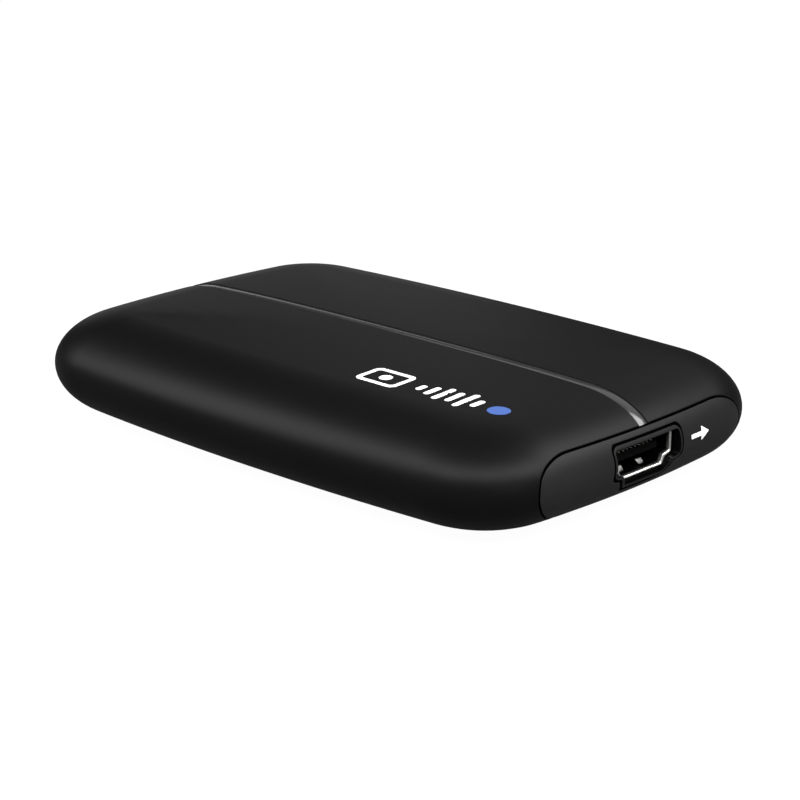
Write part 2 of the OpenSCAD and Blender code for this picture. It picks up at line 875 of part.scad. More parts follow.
module audio_jack_body() color("#151515") at_audio() difference() {
    union() {
        translate([-audio_barrel_l - audio_body_l, -audio_body_w / 2, board_top])
            cube([audio_body_l, audio_body_w, audio_body_h]);
        translate([-audio_barrel_l - over, 0, audio_z])
            rotate([0, 90, 0])
                cylinder(r = audio_barrel_r, h = audio_barrel_l + over, $fn = 48);
    }
    translate([-audio_bore_l, 0, audio_z])
        rotate([0, 90, 0])
            cylinder(r = audio_bore_r, h = audio_bore_l + over, $fn = 48);
    for (s = [-1, 1], k = [0 : audio_terminals - 1])
        translate([terminal_x(k) - slack / 2, terminal_y(s, audio_pocket_w), board_top - over])
            cube([audio_terminal_w + slack, audio_pocket_w, audio_body_h]);
}

module audio_jack_terminals() color("#c8c8cc") at_audio()
    for (s = [-1, 1], k = [0 : audio_terminals - 1])
        translate([terminal_x(k), s * fit, board_top])
            union() {
                translate([0, terminal_y(s, audio_terminal_t), 0])
                    cube([audio_terminal_w, audio_terminal_t, audio_body_h - audio_terminal_short]);
                translate([0, terminal_y(s, audio_terminal_foot), 0])
                    cube([audio_terminal_w, audio_terminal_foot, audio_terminal_t]);
            }

// Flat chip with a marked corner, standing on the board
module chip(x, y, w, l, h) {
    translate([x, y, board_top])
        difference() {
            translate([-w / 2, -l / 2, 0])
                cube([w, l, h]);
            translate([mark_in - w / 2, l / 2 - mark_in, h - mark_depth])
                cylinder(r = mark_r, h = over, $fn = 24);
        }
}

module video_processor() color("#161616")
    chip(processor_x, processor_y, processor_w, processor_w, processor_h);

module thermal_pad() color("#8a8f96")
    translate([processor_x - pad_w / 2, processor_y - pad_w / 2, board_top + processor_h])
        cube([pad_w, pad_w, pad_t]);

module heat_sink() color("#a9abb0")
    translate([processor_x - sink_w / 2, processor_y - sink_w / 2, board_top + processor_h + pad_t])
        union() {
            cube([sink_w, sink_w, sink_base]);
            for (i = [0 : fin_count - 1])
                translate([0, i * (sink_w - fin_t) / (fin_count - 1), 0])
                    cube([sink_w, fin_t, heat_sink_h]);
        }

module receiver_chip() color("#161616")
    chip(receiver_at[0], receiver_at[1], bridge_w, bridge_w, chip_h);

module splitter_chip() color("#161616")
    chip(splitter_at[0], splitter_at[1], splitter_w, splitter_w, chip_h);

module bridge_chip() color("#161616")
    chip(bridge_at[0], bridge_at[1], bridge_w, bridge_w, chip_h);

module memory_chips() color("#161616")
    for (s = [-1, 1])
        chip(processor_x + s * memory_l / 2, -memory_l + fit, memory_w, memory_l, chip_h);

module flash_chip() color("#161616")
    chip(flash_at[0], flash_at[1], flash_w, flash_l, flash_h);

module codec_chip() color("#161616")
    chip(codec_at[0], codec_at[1], codec_w, codec_w, chip_h);

// Plain blocks of one size standing on the board
module blocks(places, size) {
    for (p = places)
        translate([p[0] - size[0] / 2, p[1] - size[1] / 2, board_top])
            cube(size);
}

module crystals() color("#b8b8bc")
    blocks(crystal_places, crystal_size);

module inductors() color("#3a3a3c")
    difference() {
        blocks(inductor_places, inductor_size);
        for (p = inductor_places)
            translate([p[0], p[1], board_top + inductor_size[2] - 4 * fit])
                cylinder(r = inductor_size[0] / 3, h = over, $fn = 32);
    }

module capacitors() color("#8a6a2a")
    blocks(capacitor_places, capacitor_size);

module passives() color("#7a6a58")
    blocks(passive_places, passive_size);

module status_lights() color("#e8e4d8")
    for (x = light_x)
        translate([x - led_l / 2, -led_w / 2, board_top])
            cube([led_l, led_w, led_h]);

main_housing();
bottom_cover();
front_end_plate();
rear_end_plate();
light_guide();
rubber_feet();
case_screws();
board_screws();
main_board();
video_out_surround();
video_out_shell();
video_out_insulator();
video_out_contacts();
video_in_surround();
video_in_shell();
video_in_insulator();
video_in_contacts();
data_shell();
data_tongue();
data_contacts();
audio_jack_body();
audio_jack_terminals();
video_processor();
thermal_pad();
heat_sink();
receiver_chip();
splitter_chip();
bridge_chip();
memory_chips();
flash_chip();
codec_chip();
crystals();
inductors();
capacitors();
passives();
status_lights();
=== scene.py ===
"""Looks of a pillow-shaped video capture box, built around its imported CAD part.

The file is laid out as an add-on and is run as a script. Sizes are metres, in the CAD part's own frame:
X is the long axis with the video output at +X, Z is up, z = 0 is the surface the box stands on.
"""

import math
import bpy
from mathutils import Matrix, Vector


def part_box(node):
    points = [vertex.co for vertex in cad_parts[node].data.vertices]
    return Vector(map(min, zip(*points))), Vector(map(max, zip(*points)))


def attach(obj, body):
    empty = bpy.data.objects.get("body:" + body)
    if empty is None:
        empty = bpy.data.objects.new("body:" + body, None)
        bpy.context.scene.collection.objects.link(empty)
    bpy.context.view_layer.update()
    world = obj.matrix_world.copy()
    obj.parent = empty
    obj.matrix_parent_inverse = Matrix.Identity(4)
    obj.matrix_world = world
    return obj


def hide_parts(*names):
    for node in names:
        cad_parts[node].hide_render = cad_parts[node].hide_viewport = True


bl_info = {
    "name": "Video Capture Box",
    "version": (1, 0, 0),
    "blender": (4, 5, 0),
    "location": "View3D > Sidebar > Capture Box",
    "description": "Builds the pieces, finishes and studio of a pillow-shaped video capture box",
    "category": "Object",
}

import bmesh
import bpy
import numpy as np
from bpy.props import FloatProperty, FloatVectorProperty, PointerProperty
from mathutils import Matrix, Vector
from mathutils.geometry import delaunay_2d_cdt

MM = 0.001
ROOT = "root"

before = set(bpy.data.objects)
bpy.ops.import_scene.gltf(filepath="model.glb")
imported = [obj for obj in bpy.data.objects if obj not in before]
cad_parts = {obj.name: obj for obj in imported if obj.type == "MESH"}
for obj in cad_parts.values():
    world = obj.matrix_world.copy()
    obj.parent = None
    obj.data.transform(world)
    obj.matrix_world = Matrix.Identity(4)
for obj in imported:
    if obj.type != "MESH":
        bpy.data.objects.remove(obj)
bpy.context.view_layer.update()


def length(label, text, default):
    return FloatProperty(name=label, description=text, default=default, min=0.0, unit="LENGTH", precision=5)


def colour(label, text, default):
    return FloatVectorProperty(
        name=label, description=text, default=default, size=3, min=0.0, max=1.0, subtype="COLOR")


def share(label, text, default):
    return FloatProperty(name=label, description=text, default=default, min=0.0, max=1.0, subtype="FACTOR")


def angle(label, text, default):
    return FloatProperty(name=label, description=text, default=math.radians(default), subtype="ANGLE")


def radiance(label, text, default):
    return FloatProperty(name=label, description=text, default=default, min=0.0, subtype="UNSIGNED")


class CaptureBoxSizes(bpy.types.PropertyGroup):
    """Sizes of the dressed pieces"""

    body_length: length("Body length", "Length over both ends", 112 * MM)
    body_width: length("Body width", "Width over both long sides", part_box("main_housing")[1].y * 2)
    body_height: length("Body height", "Top of the dome above the floor", 19 * MM)
    stand: length("Stand", "Underside above the floor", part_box("bottom_cover")[0].z)
    equator_share: share("Widest line", "Share of the height below the widest line", 0.505)
    end_bow: length("End bow", "Plan radius of the short ends", 220 * MM)
    side_bow: length("Side bow", "Plan radius of the long sides", 520 * MM)
    corner: length("Corner radius", "Plan radius of the corners", 17.4 * MM)
    top_round: length("Upper rounding", "Reach of the upper edge rounding", 14 * MM)
    bottom_round: length("Lower rounding", "Reach of the lower edge rounding", 15 * MM)
    crown: length("Crown", "Rise of the domed top", 0.6 * MM)
    wall: length("Wall", "Wall thickness of the mouldings", 1.8 * MM)
    seam: length("Seam", "Gap between mouldings", 0.25 * MM)
    lip: length("Lip", "Rounding of moulded edges at the seams", 0.1 * MM)
    cover_inset: length("Cover inset", "Distance of the cover's seam from the outline", 11 * MM)
    cover_ledge: length("Cover ledge", "Width of the ledge under the cover's edge", 1.5 * MM)
    plate_half: length("Plate half width", "Half width of an end plate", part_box("front_end_plate")[1].y)
    plate_rise: length("Plate rise", "Height of an end plate above the widest line", 4.3 * MM)
    plate_low: length("Plate bottom", "Lower edge of an end plate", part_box("front_end_plate")[0].z)
    plate_drop: length("Plate drop", "Widest line of a plate below the body's", 0.35 * MM)
    plate_upper: length("Plate upper corner", "Reach of a plate's upper corners", 7.5 * MM)
    plate_lower: length("Plate lower corner", "Reach of a plate's lower corners", 12.6 * MM)
    groove_width: length("Groove width", "Width of the groove along the top", 2.2 * MM)
    groove_depth: length("Groove depth", "Depth of the groove along the top", 1.2 * MM)
    guide_sink: length("Guide sink", "Light guide below the top surface", 0.15 * MM)
    guide_width: length("Guide width", "Width of the light guide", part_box("light_guide")[1].y * 2)
    ink: length("Ink", "Thickness of the printed marks", 0.02 * MM)


class CaptureBoxFinish(bpy.types.PropertyGroup):
    """Colours of the finishes"""

    shell: colour("Housing", "Soft-touch black of the housing", (0.0026, 0.0026, 0.0027))
    plate: colour("End plates", "Moulded black of the end plates", (0.0115, 0.0115, 0.0117))
    guide: colour("Light guide", "Smoked plastic of the light guide", (0.022, 0.022, 0.023))
    rubber: colour("Feet", "Rubber of the feet", (0.010, 0.010, 0.010))
    nickel: colour("Socket shells", "Plated steel of the socket shells", (0.84, 0.83, 0.81))
    gold: colour("Contacts", "Plating of the contacts", (0.72, 0.70, 0.64))
    ink: colour("Printed marks", "White ink of the printed marks", (0.80, 0.80, 0.79))
    accent: colour("Accent mark", "Blue ink of the last mark", (0.045, 0.092, 0.290))


class CaptureBoxStudio(bpy.types.PropertyGroup):
    """Camera and light"""

    camera_azimuth: angle("Camera azimuth", "Camera direction from +X towards -Y", 46.376)
    camera_elevation: angle("Camera elevation", "Camera direction above the floor", 17.378)
    camera_distance: length("Camera distance", "Distance from the middle of the box", 381.834 * MM)
    camera_lens: FloatProperty(
        name="Lens", description="Focal length on a 36 mm sensor", default=102.083, unit="CAMERA")
    camera_shift: FloatVectorProperty(
        name="Shift", description="Framing shift in shares of the width", size=2, default=(0.01534, -0.02236))
    left: radiance("Left", "Radiance of the softbox left of the camera", 6.0)
    right: radiance("Right", "Radiance of the softbox right of the camera", 9.0)
    fill: radiance("Fill", "Radiance of the low fill light by the near corner", 2.0)
    over: radiance("Over", "Radiance of the softboxes above the camera", 8.0)
    back: radiance("Back", "Radiance of the low softbox behind the box", 0.6)
    far: radiance("Far", "Radiance of the high softbox behind the box", 0.6)
    room: radiance("Room", "Radiance of the dim room around the softboxes", 0.015)
    floor_tone: share("Floor tone", "Paper tone that the box is lit by", 0.55)
    floor_gloss: share("Floor gloss", "Paper tone seen in reflections", 0.09)


class Pillow:
    """Outer skin of the box: bowed plan outline, elliptical edge roundings, domed top."""

    RIM_ANGLE = math.radians(86)
    # Base that a normal of the top is taken over: at the rim, and its growth towards the middle
    RIM_BASE, MIDDLE_BASE = 0.05 * MM, 7 * MM

    def __init__(self, z):
        self.top, self.low, self.crown = z.body_height, z.stand, z.crown
        self.top_round, self.bottom_round = z.top_round, z.bottom_round
        self.equator = self.low + (self.top - self.low) * z.equator_share
        self.rim = self.top - self.crown
        self.upper_h = (self.rim - self.equator) / math.sin(self.RIM_ANGLE)
        self.lower_h = self.equator - self.low
        self.rim_inset = self.top_round * (1 - math.cos(self.RIM_ANGLE))
        self.rim_slope = self.upper_h / (self.top_round * math.tan(self.RIM_ANGLE))
        self.end_r, self.side_r, self.corner_r = z.end_bow, z.side_bow, z.corner
        self.end = (z.body_length / 2 - z.end_bow, 0.0)
        self.side = (0.0, z.body_width / 2 - z.side_bow)
        self.corner = self.corner_centre()
        self.end_angle = math.atan2(self.corner[1], self.corner[0] - self.end[0])
        self.side_angle = math.atan2(self.corner[1] - self.side[1], self.corner[0])
        self.fall, self.run = self.meridian()

    def corner_centre(self):
        """Centre of the circle tangent to the end bow and the side bow."""
        reach_e, reach_s = self.end_r - self.corner_r, self.side_r - self.corner_r
        dx, dy = self.side[0] - self.end[0], self.side[1] - self.end[1]
        gap = math.hypot(dx, dy)
        along = (reach_e ** 2 - reach_s ** 2 + gap ** 2) / (2 * gap)
        across = math.sqrt(reach_e ** 2 - along ** 2)
        ux, uy = dx / gap, dy / gap
        both = [(self.end[0] + ux * along - s * uy * across, uy * along + s * ux * across) for s in (-1, 1)]
        return max(both, key=lambda c: c[1])

    def meridian(self):
        """Falling heights and the distance run down the skin from the rim, for laying the skin flat."""
        upper = [(self.top_round * (1 - math.cos(a)), self.equator + self.upper_h * math.sin(a))
                 for a in np.linspace(self.RIM_ANGLE, 0, 200)]
        lower = [(self.bottom_round * (1 - math.cos(a)), self.equator - self.lower_h * math.sin(a))
                 for a in np.linspace(0, math.pi / 2, 200)[1:]]
        path = np.array(upper + lower)
        steps = np.hypot(*np.diff(path, axis=0).T)
        return -path[:, 1], np.concatenate([[0.0], np.cumsum(steps)])

    def level(self, z):
        """Inset of the skin at a height, and its normal's outward and upward parts."""
        if z >= self.equator:
            a = math.asin(min((z - self.equator) / self.upper_h, math.sin(self.RIM_ANGLE)))
            inset = self.top_round * (1 - math.cos(a))
            out, up = self.upper_h * math.cos(a), self.top_round * math.sin(a)
        else:
            a = math.asin(min((self.equator - z) / self.lower_h, 1.0))
            inset = self.bottom_round * (1 - math.cos(a))
            out, up = self.lower_h * math.cos(a), -self.bottom_round * math.sin(a)
        size = math.hypot(out, up)
        return inset, out / size, up / size

    def upper_z(self, a):
        return self.equator + self.upper_h * math.sin(a)

    def lower_z(self, inset):
        """Height of the lower rounding at an inset from the outline."""
        return self.equator - self.lower_h * math.sqrt(1 - (1 - inset / self.bottom_round) ** 2)

    def on_station(self, station, z):
        """Place, normal and flat chart position of a skin point at a station of the outline."""
        cx, cy, r, ux, uy = station
        inset, out, up = self.level(z)
        flat = r - self.rim_inset + float(np.interp(-z, self.fall, self.run))
        place = Vector((cx + (r - inset) * ux, cy + (r - inset) * uy, z))
        return place, Vector((out * ux, out * uy, up)), (cx + flat * ux, cy + flat * uy)

    def on_end(self, y, z, side=1):
        """The same for a point of the +X end (side 1) or -X end (side -1) seen end on."""
        inset = self.level(z)[0]
        r = self.end_r - inset
        if abs(y) <= r * math.sin(self.end_angle):
            station = (*self.end, self.end_r, math.sqrt(1 - (y / r) ** 2), y / r)
        else:
            s = math.copysign(1.0, y)
            uy = min((abs(y) - self.corner[1]) / (self.corner_r - inset), 1.0)
            station = (self.corner[0], s * self.corner[1], self.corner_r, math.sqrt(1 - uy * uy), s * uy)
        place, normal, chart = self.on_station(station, z)
        if side < 0:
            place.x, normal.x, chart = -place.x, -normal.x, (-chart[0], chart[1])
        return place, normal, chart

    def top_height(self, x, y):
        """Height of the domed top at a place."""
        ax, ay = abs(x), abs(y)
        s = max(math.hypot(ax, ay), 1e-9)
        ex, ey = ax / s, ay / s
        for (cx, cy), r, low, high in (
            (self.end, self.end_r, -1.0, self.end_angle),
            (self.corner, self.corner_r, self.end_angle, self.side_angle),
            (self.side, self.side_r, self.side_angle, 2.0),
        ):
            b = ex * cx + ey * cy
            disc = b * b - cx * cx - cy * cy + (r - self.rim_inset) ** 2
            if disc < 0:
                continue
            t = b + math.sqrt(disc)
            a = math.atan2(ey * t - cy, ex * t - cx)
            if low - 1e-6 <= a <= high + 1e-6:
                k = s / t
                support = t * (math.cos(a) * ex + math.sin(a) * ey)
                bend = (self.rim_slope * support / self.crown - 2) / 2
                return self.top - self.crown * (k * k + bend * (k ** 4 - k * k))
        raise ValueError("no rim in that direction")

    def on_top(self, x, y):
        """The same for a point of the domed top."""
        z = self.top_height(x, y)
        # The base widens away from the rim, so the corners leave no ridge in the dome
        fall = min(math.sqrt(max(self.top - z, 0.0) / self.crown), 1.0)
        e = self.RIM_BASE + self.MIDDLE_BASE * (1 - fall)
        dx = (self.top_height(x + e, y) - self.top_height(x - e, y)) / (2 * e)
        dy = (self.top_height(x, y + e) - self.top_height(x, y - e)) / (2 * e)
        return Vector((x, y, z)), Vector((-dx, -dy, 1)).normalized(), (x, y)

    def stations(self, end_steps, corner_steps, side_steps):
        """Stations round the outline: centre, radius and direction."""
        (cx, cy), e, s, pi = self.corner, self.end_angle, self.side_angle, math.pi
        arcs = (
            ((self.end[0], 0.0), self.end_r, -e, e, end_steps),
            ((cx, cy), self.corner_r, e, s, corner_steps),
            ((0.0, self.side[1]), self.side_r, s, pi - s, side_steps),
            ((-cx, cy), self.corner_r, pi - s, pi - e, corner_steps),
            ((-self.end[0], 0.0), self.end_r, pi - e, pi + e, end_steps),
            ((-cx, -cy), self.corner_r, pi + e, pi + s, corner_steps),
            ((0.0, -self.side[1]), self.side_r, pi + s, 2 * pi - s, side_steps),
            ((cx, -cy), self.corner_r, 2 * pi - s, 2 * pi - e, corner_steps),
        )
        out = []
        for centre, r, low, high, steps in arcs:
            for i in range(steps):
                a = low + (high - low) * i / steps
                out.append((*centre, r, math.cos(a), math.sin(a)))
        return out


def inside(points, polygon):
    """Which points lie inside a polygon."""
    hit = np.zeros(len(points), bool)
    x, y = points[:, 0], points[:, 1]
    for (x0, y0), (x1, y1) in zip(polygon, np.roll(polygon, -1, axis=0)):
        cross = (y0 > y) != (y1 > y)
        hit ^= cross & (x < (x1 - x0) * (y - y0) / (y1 - y0 + 1e-30) + x0)
    return hit


def distance(points, polygon):
    """Distance of each point from a closed polygon's edge."""
    best = np.full(len(points), 1e9)
    for a, b in zip(polygon, np.roll(polygon, -1, axis=0)):
        d = b - a
        t = np.clip(((points - a) @ d) / max(d @ d, 1e-30), 0, 1)
        best = np.minimum(best, np.hypot(*(points - a - t[:, None] * d).T))
    return best


def lay_skin(field, bound, holes, gap):
    """Triangles over skin points inside a bounding loop and outside the hole loops.

    All are lists of (place, normal, chart). Returns the points used, the triangles and each loop's indices.
    """
    loops = [bound, *holes]
    charts = [np.array([p[2] for p in loop]) for loop in loops]
    flat = np.array([p[2] for p in field])
    keep = inside(flat, charts[0])
    for chart in charts[1:]:
        keep &= ~inside(flat, chart)
    for chart in charts:
        keep &= distance(flat, chart) > gap
    used = [field[i] for i in np.nonzero(keep)[0]]
    edges, index = [], []
    for loop in loops:
        ids = list(range(len(used), len(used) + len(loop)))
        used.extend(loop)
        edges.extend(zip(ids, ids[1:] + ids[:1]))
        index.append(ids)
    found = delaunay_2d_cdt([Vector(p[2]) / MM for p in used], edges, [], 0, 1e-6)
    back = [origin[0] for origin in found[3]]
    tris = np.array([[back[i] for i in f] for f in found[2]])
    flat = np.array([p[2] for p in used])
    middle = flat[tris].mean(axis=1)
    keep = inside(middle, charts[0])
    for chart in charts[1:]:
        keep &= ~inside(middle, chart)
    return used, tris[keep].tolist(), index


class Moulding:
    """Points and faces of one closed piece; skin faces keep the normals of the true surface."""

    def __init__(self):
        self.points, self.faces, self.own = [], [], {}

    def add(self, places):
        start = len(self.points)
        self.points.extend(Vector(p) for p in places)
        return list(range(start, len(self.points)))

    def strip(self, a, b, closed=True):
        for i in range(len(a) if closed else len(a) - 1):
            j = (i + 1) % len(a)
            self.faces.append((a[i], a[j], b[j], b[i]))

    def rings(self, rings, closed=False):
        """Joins rings of equal length in order; returns the index lists."""
        ids = [self.add(ring) for ring in rings]
        for a, b in zip(ids, ids[1:]):
            self.strip(a, b)
        if closed:
            self.strip(ids[-1], ids[0])
        return ids

    def cap(self, ids):
        self.faces.append(tuple(ids))

    def skin(self, used, tris, lift, normals=True):
        """Lays the skin lifted along its normals; returns its indices."""
        ids = self.add([p + n * lift for p, n, _ in used])
        for f in tris:
            if normals:
                self.own[len(self.faces)] = {ids[i]: used[i][1] for i in f}
            self.faces.append(tuple(ids[i] for i in f))
        return ids

    def mesh(self, name, angle=38):
        data = bpy.data.meshes.new(name)
        data.from_pydata([tuple(p) for p in self.points], [], self.faces)
        bm = bmesh.new()
        bm.from_mesh(data)
        bmesh.ops.recalc_face_normals(bm, faces=bm.faces)
        bm.to_mesh(data)
        bm.free()
        data.polygons.foreach_set("use_smooth", [True] * len(data.polygons))
        data.set_sharp_from_angle(angle=math.radians(angle))
        if self.own:
            normals = [(0.0, 0.0, 0.0)] * len(data.loops)
            for face in data.polygons:
                own = self.own.get(face.index)
                if own:
                    for i in face.loop_indices:
                        normals[i] = tuple(own[data.loops[i].vertex_index])
            data.normals_split_custom_set(normals)
        return data


def put(data, material, slot, *nodes):
    """Makes a finished piece from a mesh: finish, body and the CAD nodes that it stands for, which it hides;
    slot is not used.
    """
    piece = bpy.data.objects.new(data.name, data)
    bpy.context.scene.collection.objects.link(piece)
    data.materials.clear()
    data.materials.append(material)
    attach(piece, ROOT)
    if nodes:
        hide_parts(*nodes)
    return piece


def dress(name, material):
    """Gives a CAD node its finish."""
    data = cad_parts[name].data
    data.materials.clear()
    data.materials.append(material)


def join(name, *parts):
    """One mesh from several."""
    bm = bmesh.new()
    for part in parts:
        bm.from_mesh(part)
    data = bpy.data.meshes.new(name)
    bm.to_mesh(data)
    bm.free()
    for part in parts:
        bpy.data.meshes.remove(part)
    return data


def moved(data, matrix):
    """Moves a mesh, turning its faces back out where the move mirrors it."""
    data.transform(matrix)
    if matrix.determinant() < 0:
        data.flip_normals()
    return data


def block(name, low, high, bevel, segments=2):
    """Box between two corners with rounded edges."""
    bm = bmesh.new()
    bmesh.ops.create_cube(bm, size=1.0)
    low, high = Vector(low), Vector(high)
    for v in bm.verts:
        v.co = Vector((low[i] + (v.co[i] + 0.5) * (high[i] - low[i]) for i in range(3)))
    bmesh.ops.bevel(bm, geom=list(bm.edges), offset=bevel, segments=segments, affect="EDGES", profile=0.5)
    data = bpy.data.meshes.new(name)
    bm.to_mesh(data)
    bm.free()
    data.polygons.foreach_set("use_smooth", [True] * len(data.polygons))
    data.set_sharp_from_angle(angle=math.radians(50))
    return data


def rounded(corners, steps=6, straight=8):
    """Closed outline from corners (y, z, radius), with the same point count for every outline of a kind."""
    arcs = []
    for i, (y, z, r) in enumerate(corners):
        p = Vector((y, z))
        a = (Vector(corners[i - 1][:2]) - p).normalized()
        b = (Vector(corners[(i + 1) % len(corners)][:2]) - p).normalized()
        half = a.angle(b) / 2
        centre = p + (a + b).normalized() * (r / math.sin(half))
        first, last = p + a * (r / math.tan(half)) - centre, p + b * (r / math.tan(half)) - centre
        start = math.atan2(first.y, first.x)
        sweep = (math.atan2(last.y, last.x) - start + math.pi) % (2 * math.pi) - math.pi
        turns = [start + sweep * k / steps for k in range(steps + 1)]
        arcs.append([centre + r * Vector((math.cos(turn), math.sin(turn))) for turn in turns])
    out = []
    for arc, following in zip(arcs, arcs[1:] + arcs[:1]):
        out.extend(arc)
        out.extend(arc[-1].lerp(following[0], k / straight) for k in range(1, straight))
    return [(p.x, p.y) for p in out]


def lip_steps(lip, count=4):
    """Steps of a rounded edge: how far it stays off the edge, and how far it sinks."""
    angles = [math.pi / 2 * k / count for k in range(count + 1)]
    return [(lip * (1 - math.sin(a)), lip * (1 - math.cos(a))) for a in angles]


class Sockets:
    """Places and outlines of the sockets, read from the CAD nodes."""

    HALF, HEIGHT, STEP_Z = 7 * MM, 4.55 * MM, 1.35 * MM
    STEP_HALF, LOW_HALF = 5.45 * MM, 4.85 * MM
    METAL, FIT = 0.3 * MM, 0.05 * MM
    # Growth of an outline at its sides, top, shoulders and lower sides
    FRAME, FRAME_R, FRAME_FOOT = (1.2 * MM, 1.2 * MM, 0.85 * MM, 0.8 * MM), 1.2 * MM, 0.87 * MM
    RIM, RIM_R, RIM_FOOT = (0.8 * MM, 0.6 * MM, 0.5 * MM, 0.45 * MM), 0.6 * MM, 0.67 * MM
    BORE = (0.55 * MM, 0.55 * MM, 0.35 * MM, 0.35 * MM)
    FRAME_GAP, FOOT_GAP = 0.36 * MM, 0.25 * MM
    FOOT_LEAN, SHOULDER_LEAN, SMALL_R = 1.03, 0.15 * MM, 0.45 * MM
    # Metal shell: depth and corner, its lip as (growth, distance behind the mouth), its legs
    DEPTH, CORNER = 11.5 * MM, 0.3 * MM
    LIP = ((0.0, 0.2), (0.04, 0.15), (0.2, 0.03), (0.25, 0.01), (0.3, 0.05))
    LEG_X, LEG_HALF, LEG_REACH, LEG_EDGE = (-6.2 * MM, -10.6 * MM), 0.8 * MM, 0.5 * MM, 0.05 * MM
    # Spring fingers: middle, width, rounded edge, and their section as (x, height) in mm
    FINGER_Y, FINGER_W, FINGER_EDGE = 2.5 * MM, 2 * MM, 0.12 * MM
    FINGER_PATH = (
        (-6.5, -0.3), (-6.5, 0), (-5.6, 0), (-4.6, 0.14), (-3.4, 0.62), (-3.0, 0.72), (-2.75, 0.7),
        (-2.6, 0.57), (-2.0, 0.02), (-2.1, -0.12), (-2.9, 0.38), (-3.1, 0.42), (-3.6, 0.32), (-5.5, -0.3))
    # Slot around a finger, where the finger narrows and to what share, and the part of it that keeps its full
    # colour, free of the painted shade inside the shell
    SLOT_GAP, SLOT_X, SLOT_Z = 0.3 * MM, (-6.3 * MM, -1.1 * MM), (-1 * MM, 0.2 * MM)
    NARROW_X, NARROW_SHARE = (-3.4 * MM, -2.3 * MM), (1.0, 0.6)
    LIT_X, LIT_Y, LIT_Z = -2.7 * MM, 1.02 * MM, (0.05 * MM, 0.75 * MM)
    DATA_H, DATA_DEPTH, DATA_LEG_X = 3.26 * MM, 10.5 * MM, 8.2 * MM
    BARREL_R = 2.5 * MM

    def __init__(self):
        self.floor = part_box("video_out_insulator")[0].z - self.FIT
        self.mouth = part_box("video_out_shell")[1].x
        low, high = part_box("video_out_shell")
        self.out_y = (low.y + high.y) / 2
        low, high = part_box("video_in_shell")
        self.in_y = (low.y + high.y) / 2
        low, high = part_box("data_shell")
        self.data_y, self.data_x = (low.y + high.y) / 2, -low.x
        self.data_w, self.data_h = high.y - low.y, self.DATA_H
        self.data_z = high.z - self.data_h / 2
        low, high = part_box("audio_jack_body")
        self.audio_y, self.audio_z = (low.y + high.y) / 2, (low.z + high.z) / 2

    def outline(self, grow, radius, more=0.0, y=0.0, foot=0.0):
        """Stepped outline of a video socket: narrower below its shoulders, its floor lowered by a foot."""
        side, top, bottom, low = (g + more for g in grow)
        lean = self.SHOULDER_LEAN
        wide, step = self.HALF + side, self.STEP_HALF + low
        narrow = self.LOW_HALF + low - self.FOOT_LEAN * foot
        ceiling, shoulder = self.floor + self.HEIGHT + top, self.floor + self.STEP_Z - bottom
        bed = self.floor - bottom - foot
        small = min(radius, self.SMALL_R)
        right = [(wide, ceiling, radius), (wide, shoulder + lean, radius), (step, shoulder - lean, small),
                 (narrow, bed, small)]
        left = [(-a, b, r) for a, b, r in reversed(right)]
        return [(a + y, b) for a, b in rounded(right + left)]

    def oval(self, more=0.0, steps=20):
        """Outline of the data socket."""
        r, half = self.data_h / 2 + more, (self.data_w - self.data_h) / 2
        out = []
        for s in (1, -1):
            out += [(self.data_y + s * half + s * r * math.cos(a), self.data_z + s * r * math.sin(a))
                    for a in np.linspace(-math.pi / 2, math.pi / 2, steps)]
            out += [(self.data_y + s * half * (1 - 2 * k / 6), self.data_z + s * r) for k in range(1, 6)]
        return out

    def circle(self, r, steps=48):
        """Outline around the audio jack."""
        turns = [2 * math.pi * k / steps for k in range(steps)]
        return [(self.audio_y + r * math.cos(turn), self.audio_z + r * math.sin(turn)) for turn in turns]


def sizes():
    return bpy.context.scene.capture_box_sizes


def finish_colours():
    return bpy.context.scene.capture_box_finish


def plate_half_outline(z, body, grow, start):
    """Half of an end plate's outline in the end view, from its top to its bottom middle."""
    top, mid = body.equator + z.plate_rise, body.equator - z.plate_drop
    upper, lower = z.plate_half - z.plate_upper, z.plate_half - z.plate_lower
    flat_steps, upper_steps, lower_steps, low_steps, fullness = 20, 24, 26, 10, 2 / 2.4
    out = [(start + (upper - start) * k / flat_steps, top + grow) for k in range(flat_steps)]
    for k in range(upper_steps):
        a = math.pi / 2 * (1 - k / upper_steps)
        out.append((upper + (z.plate_upper + grow) * math.cos(a) ** fullness,
                    mid + (top - mid + grow) * math.sin(a) ** fullness))
    for k in range(lower_steps):
        a = math.pi / 2 * k / lower_steps
        out.append((lower + (z.plate_lower + grow) * math.cos(a),
                    mid - (mid - z.plate_low + grow) * math.sin(a)))
    return out + [(lower * (1 - k / low_steps), z.plate_low - grow) for k in range(low_steps + 1)]


def plate_outline(z, body, grow):
    """Closed outline of an end plate in the end view."""
    half = plate_half_outline(z, body, grow, 0.0)
    return half + [(-a, b) for a, b in reversed(half[1:-1])]


# ---------------------------------------------------------------- finishes


def node(tree, kind, inputs=None, **settings):
    """Adds a node with its settings, then its inputs: values, or sockets to link from."""
    made = tree.nodes.new(kind)
    for key, value in settings.items():
        setattr(made, key, value)
    for key, value in (inputs or {}).items():
        if isinstance(value, bpy.types.NodeSocket):
            tree.links.new(value, made.inputs[key])
        else:
            made.inputs[key].default_value = value
    return made


def shader_group(name, inputs, outputs):
    """New shader node group with float, vector and colour sockets; returns the tree and its two ends."""
    tree = bpy.data.node_groups.new(name, "ShaderNodeTree")
    for label, kind, default in inputs:
        made = tree.interface.new_socket(label, in_out="INPUT", socket_type=kind)
        if default is not None:
            made.default_value = default
    for label, kind in outputs:
        tree.interface.new_socket(label, in_out="OUTPUT", socket_type=kind)
    return tree, tree.nodes.new("NodeGroupInput"), tree.nodes.new("NodeGroupOutput")


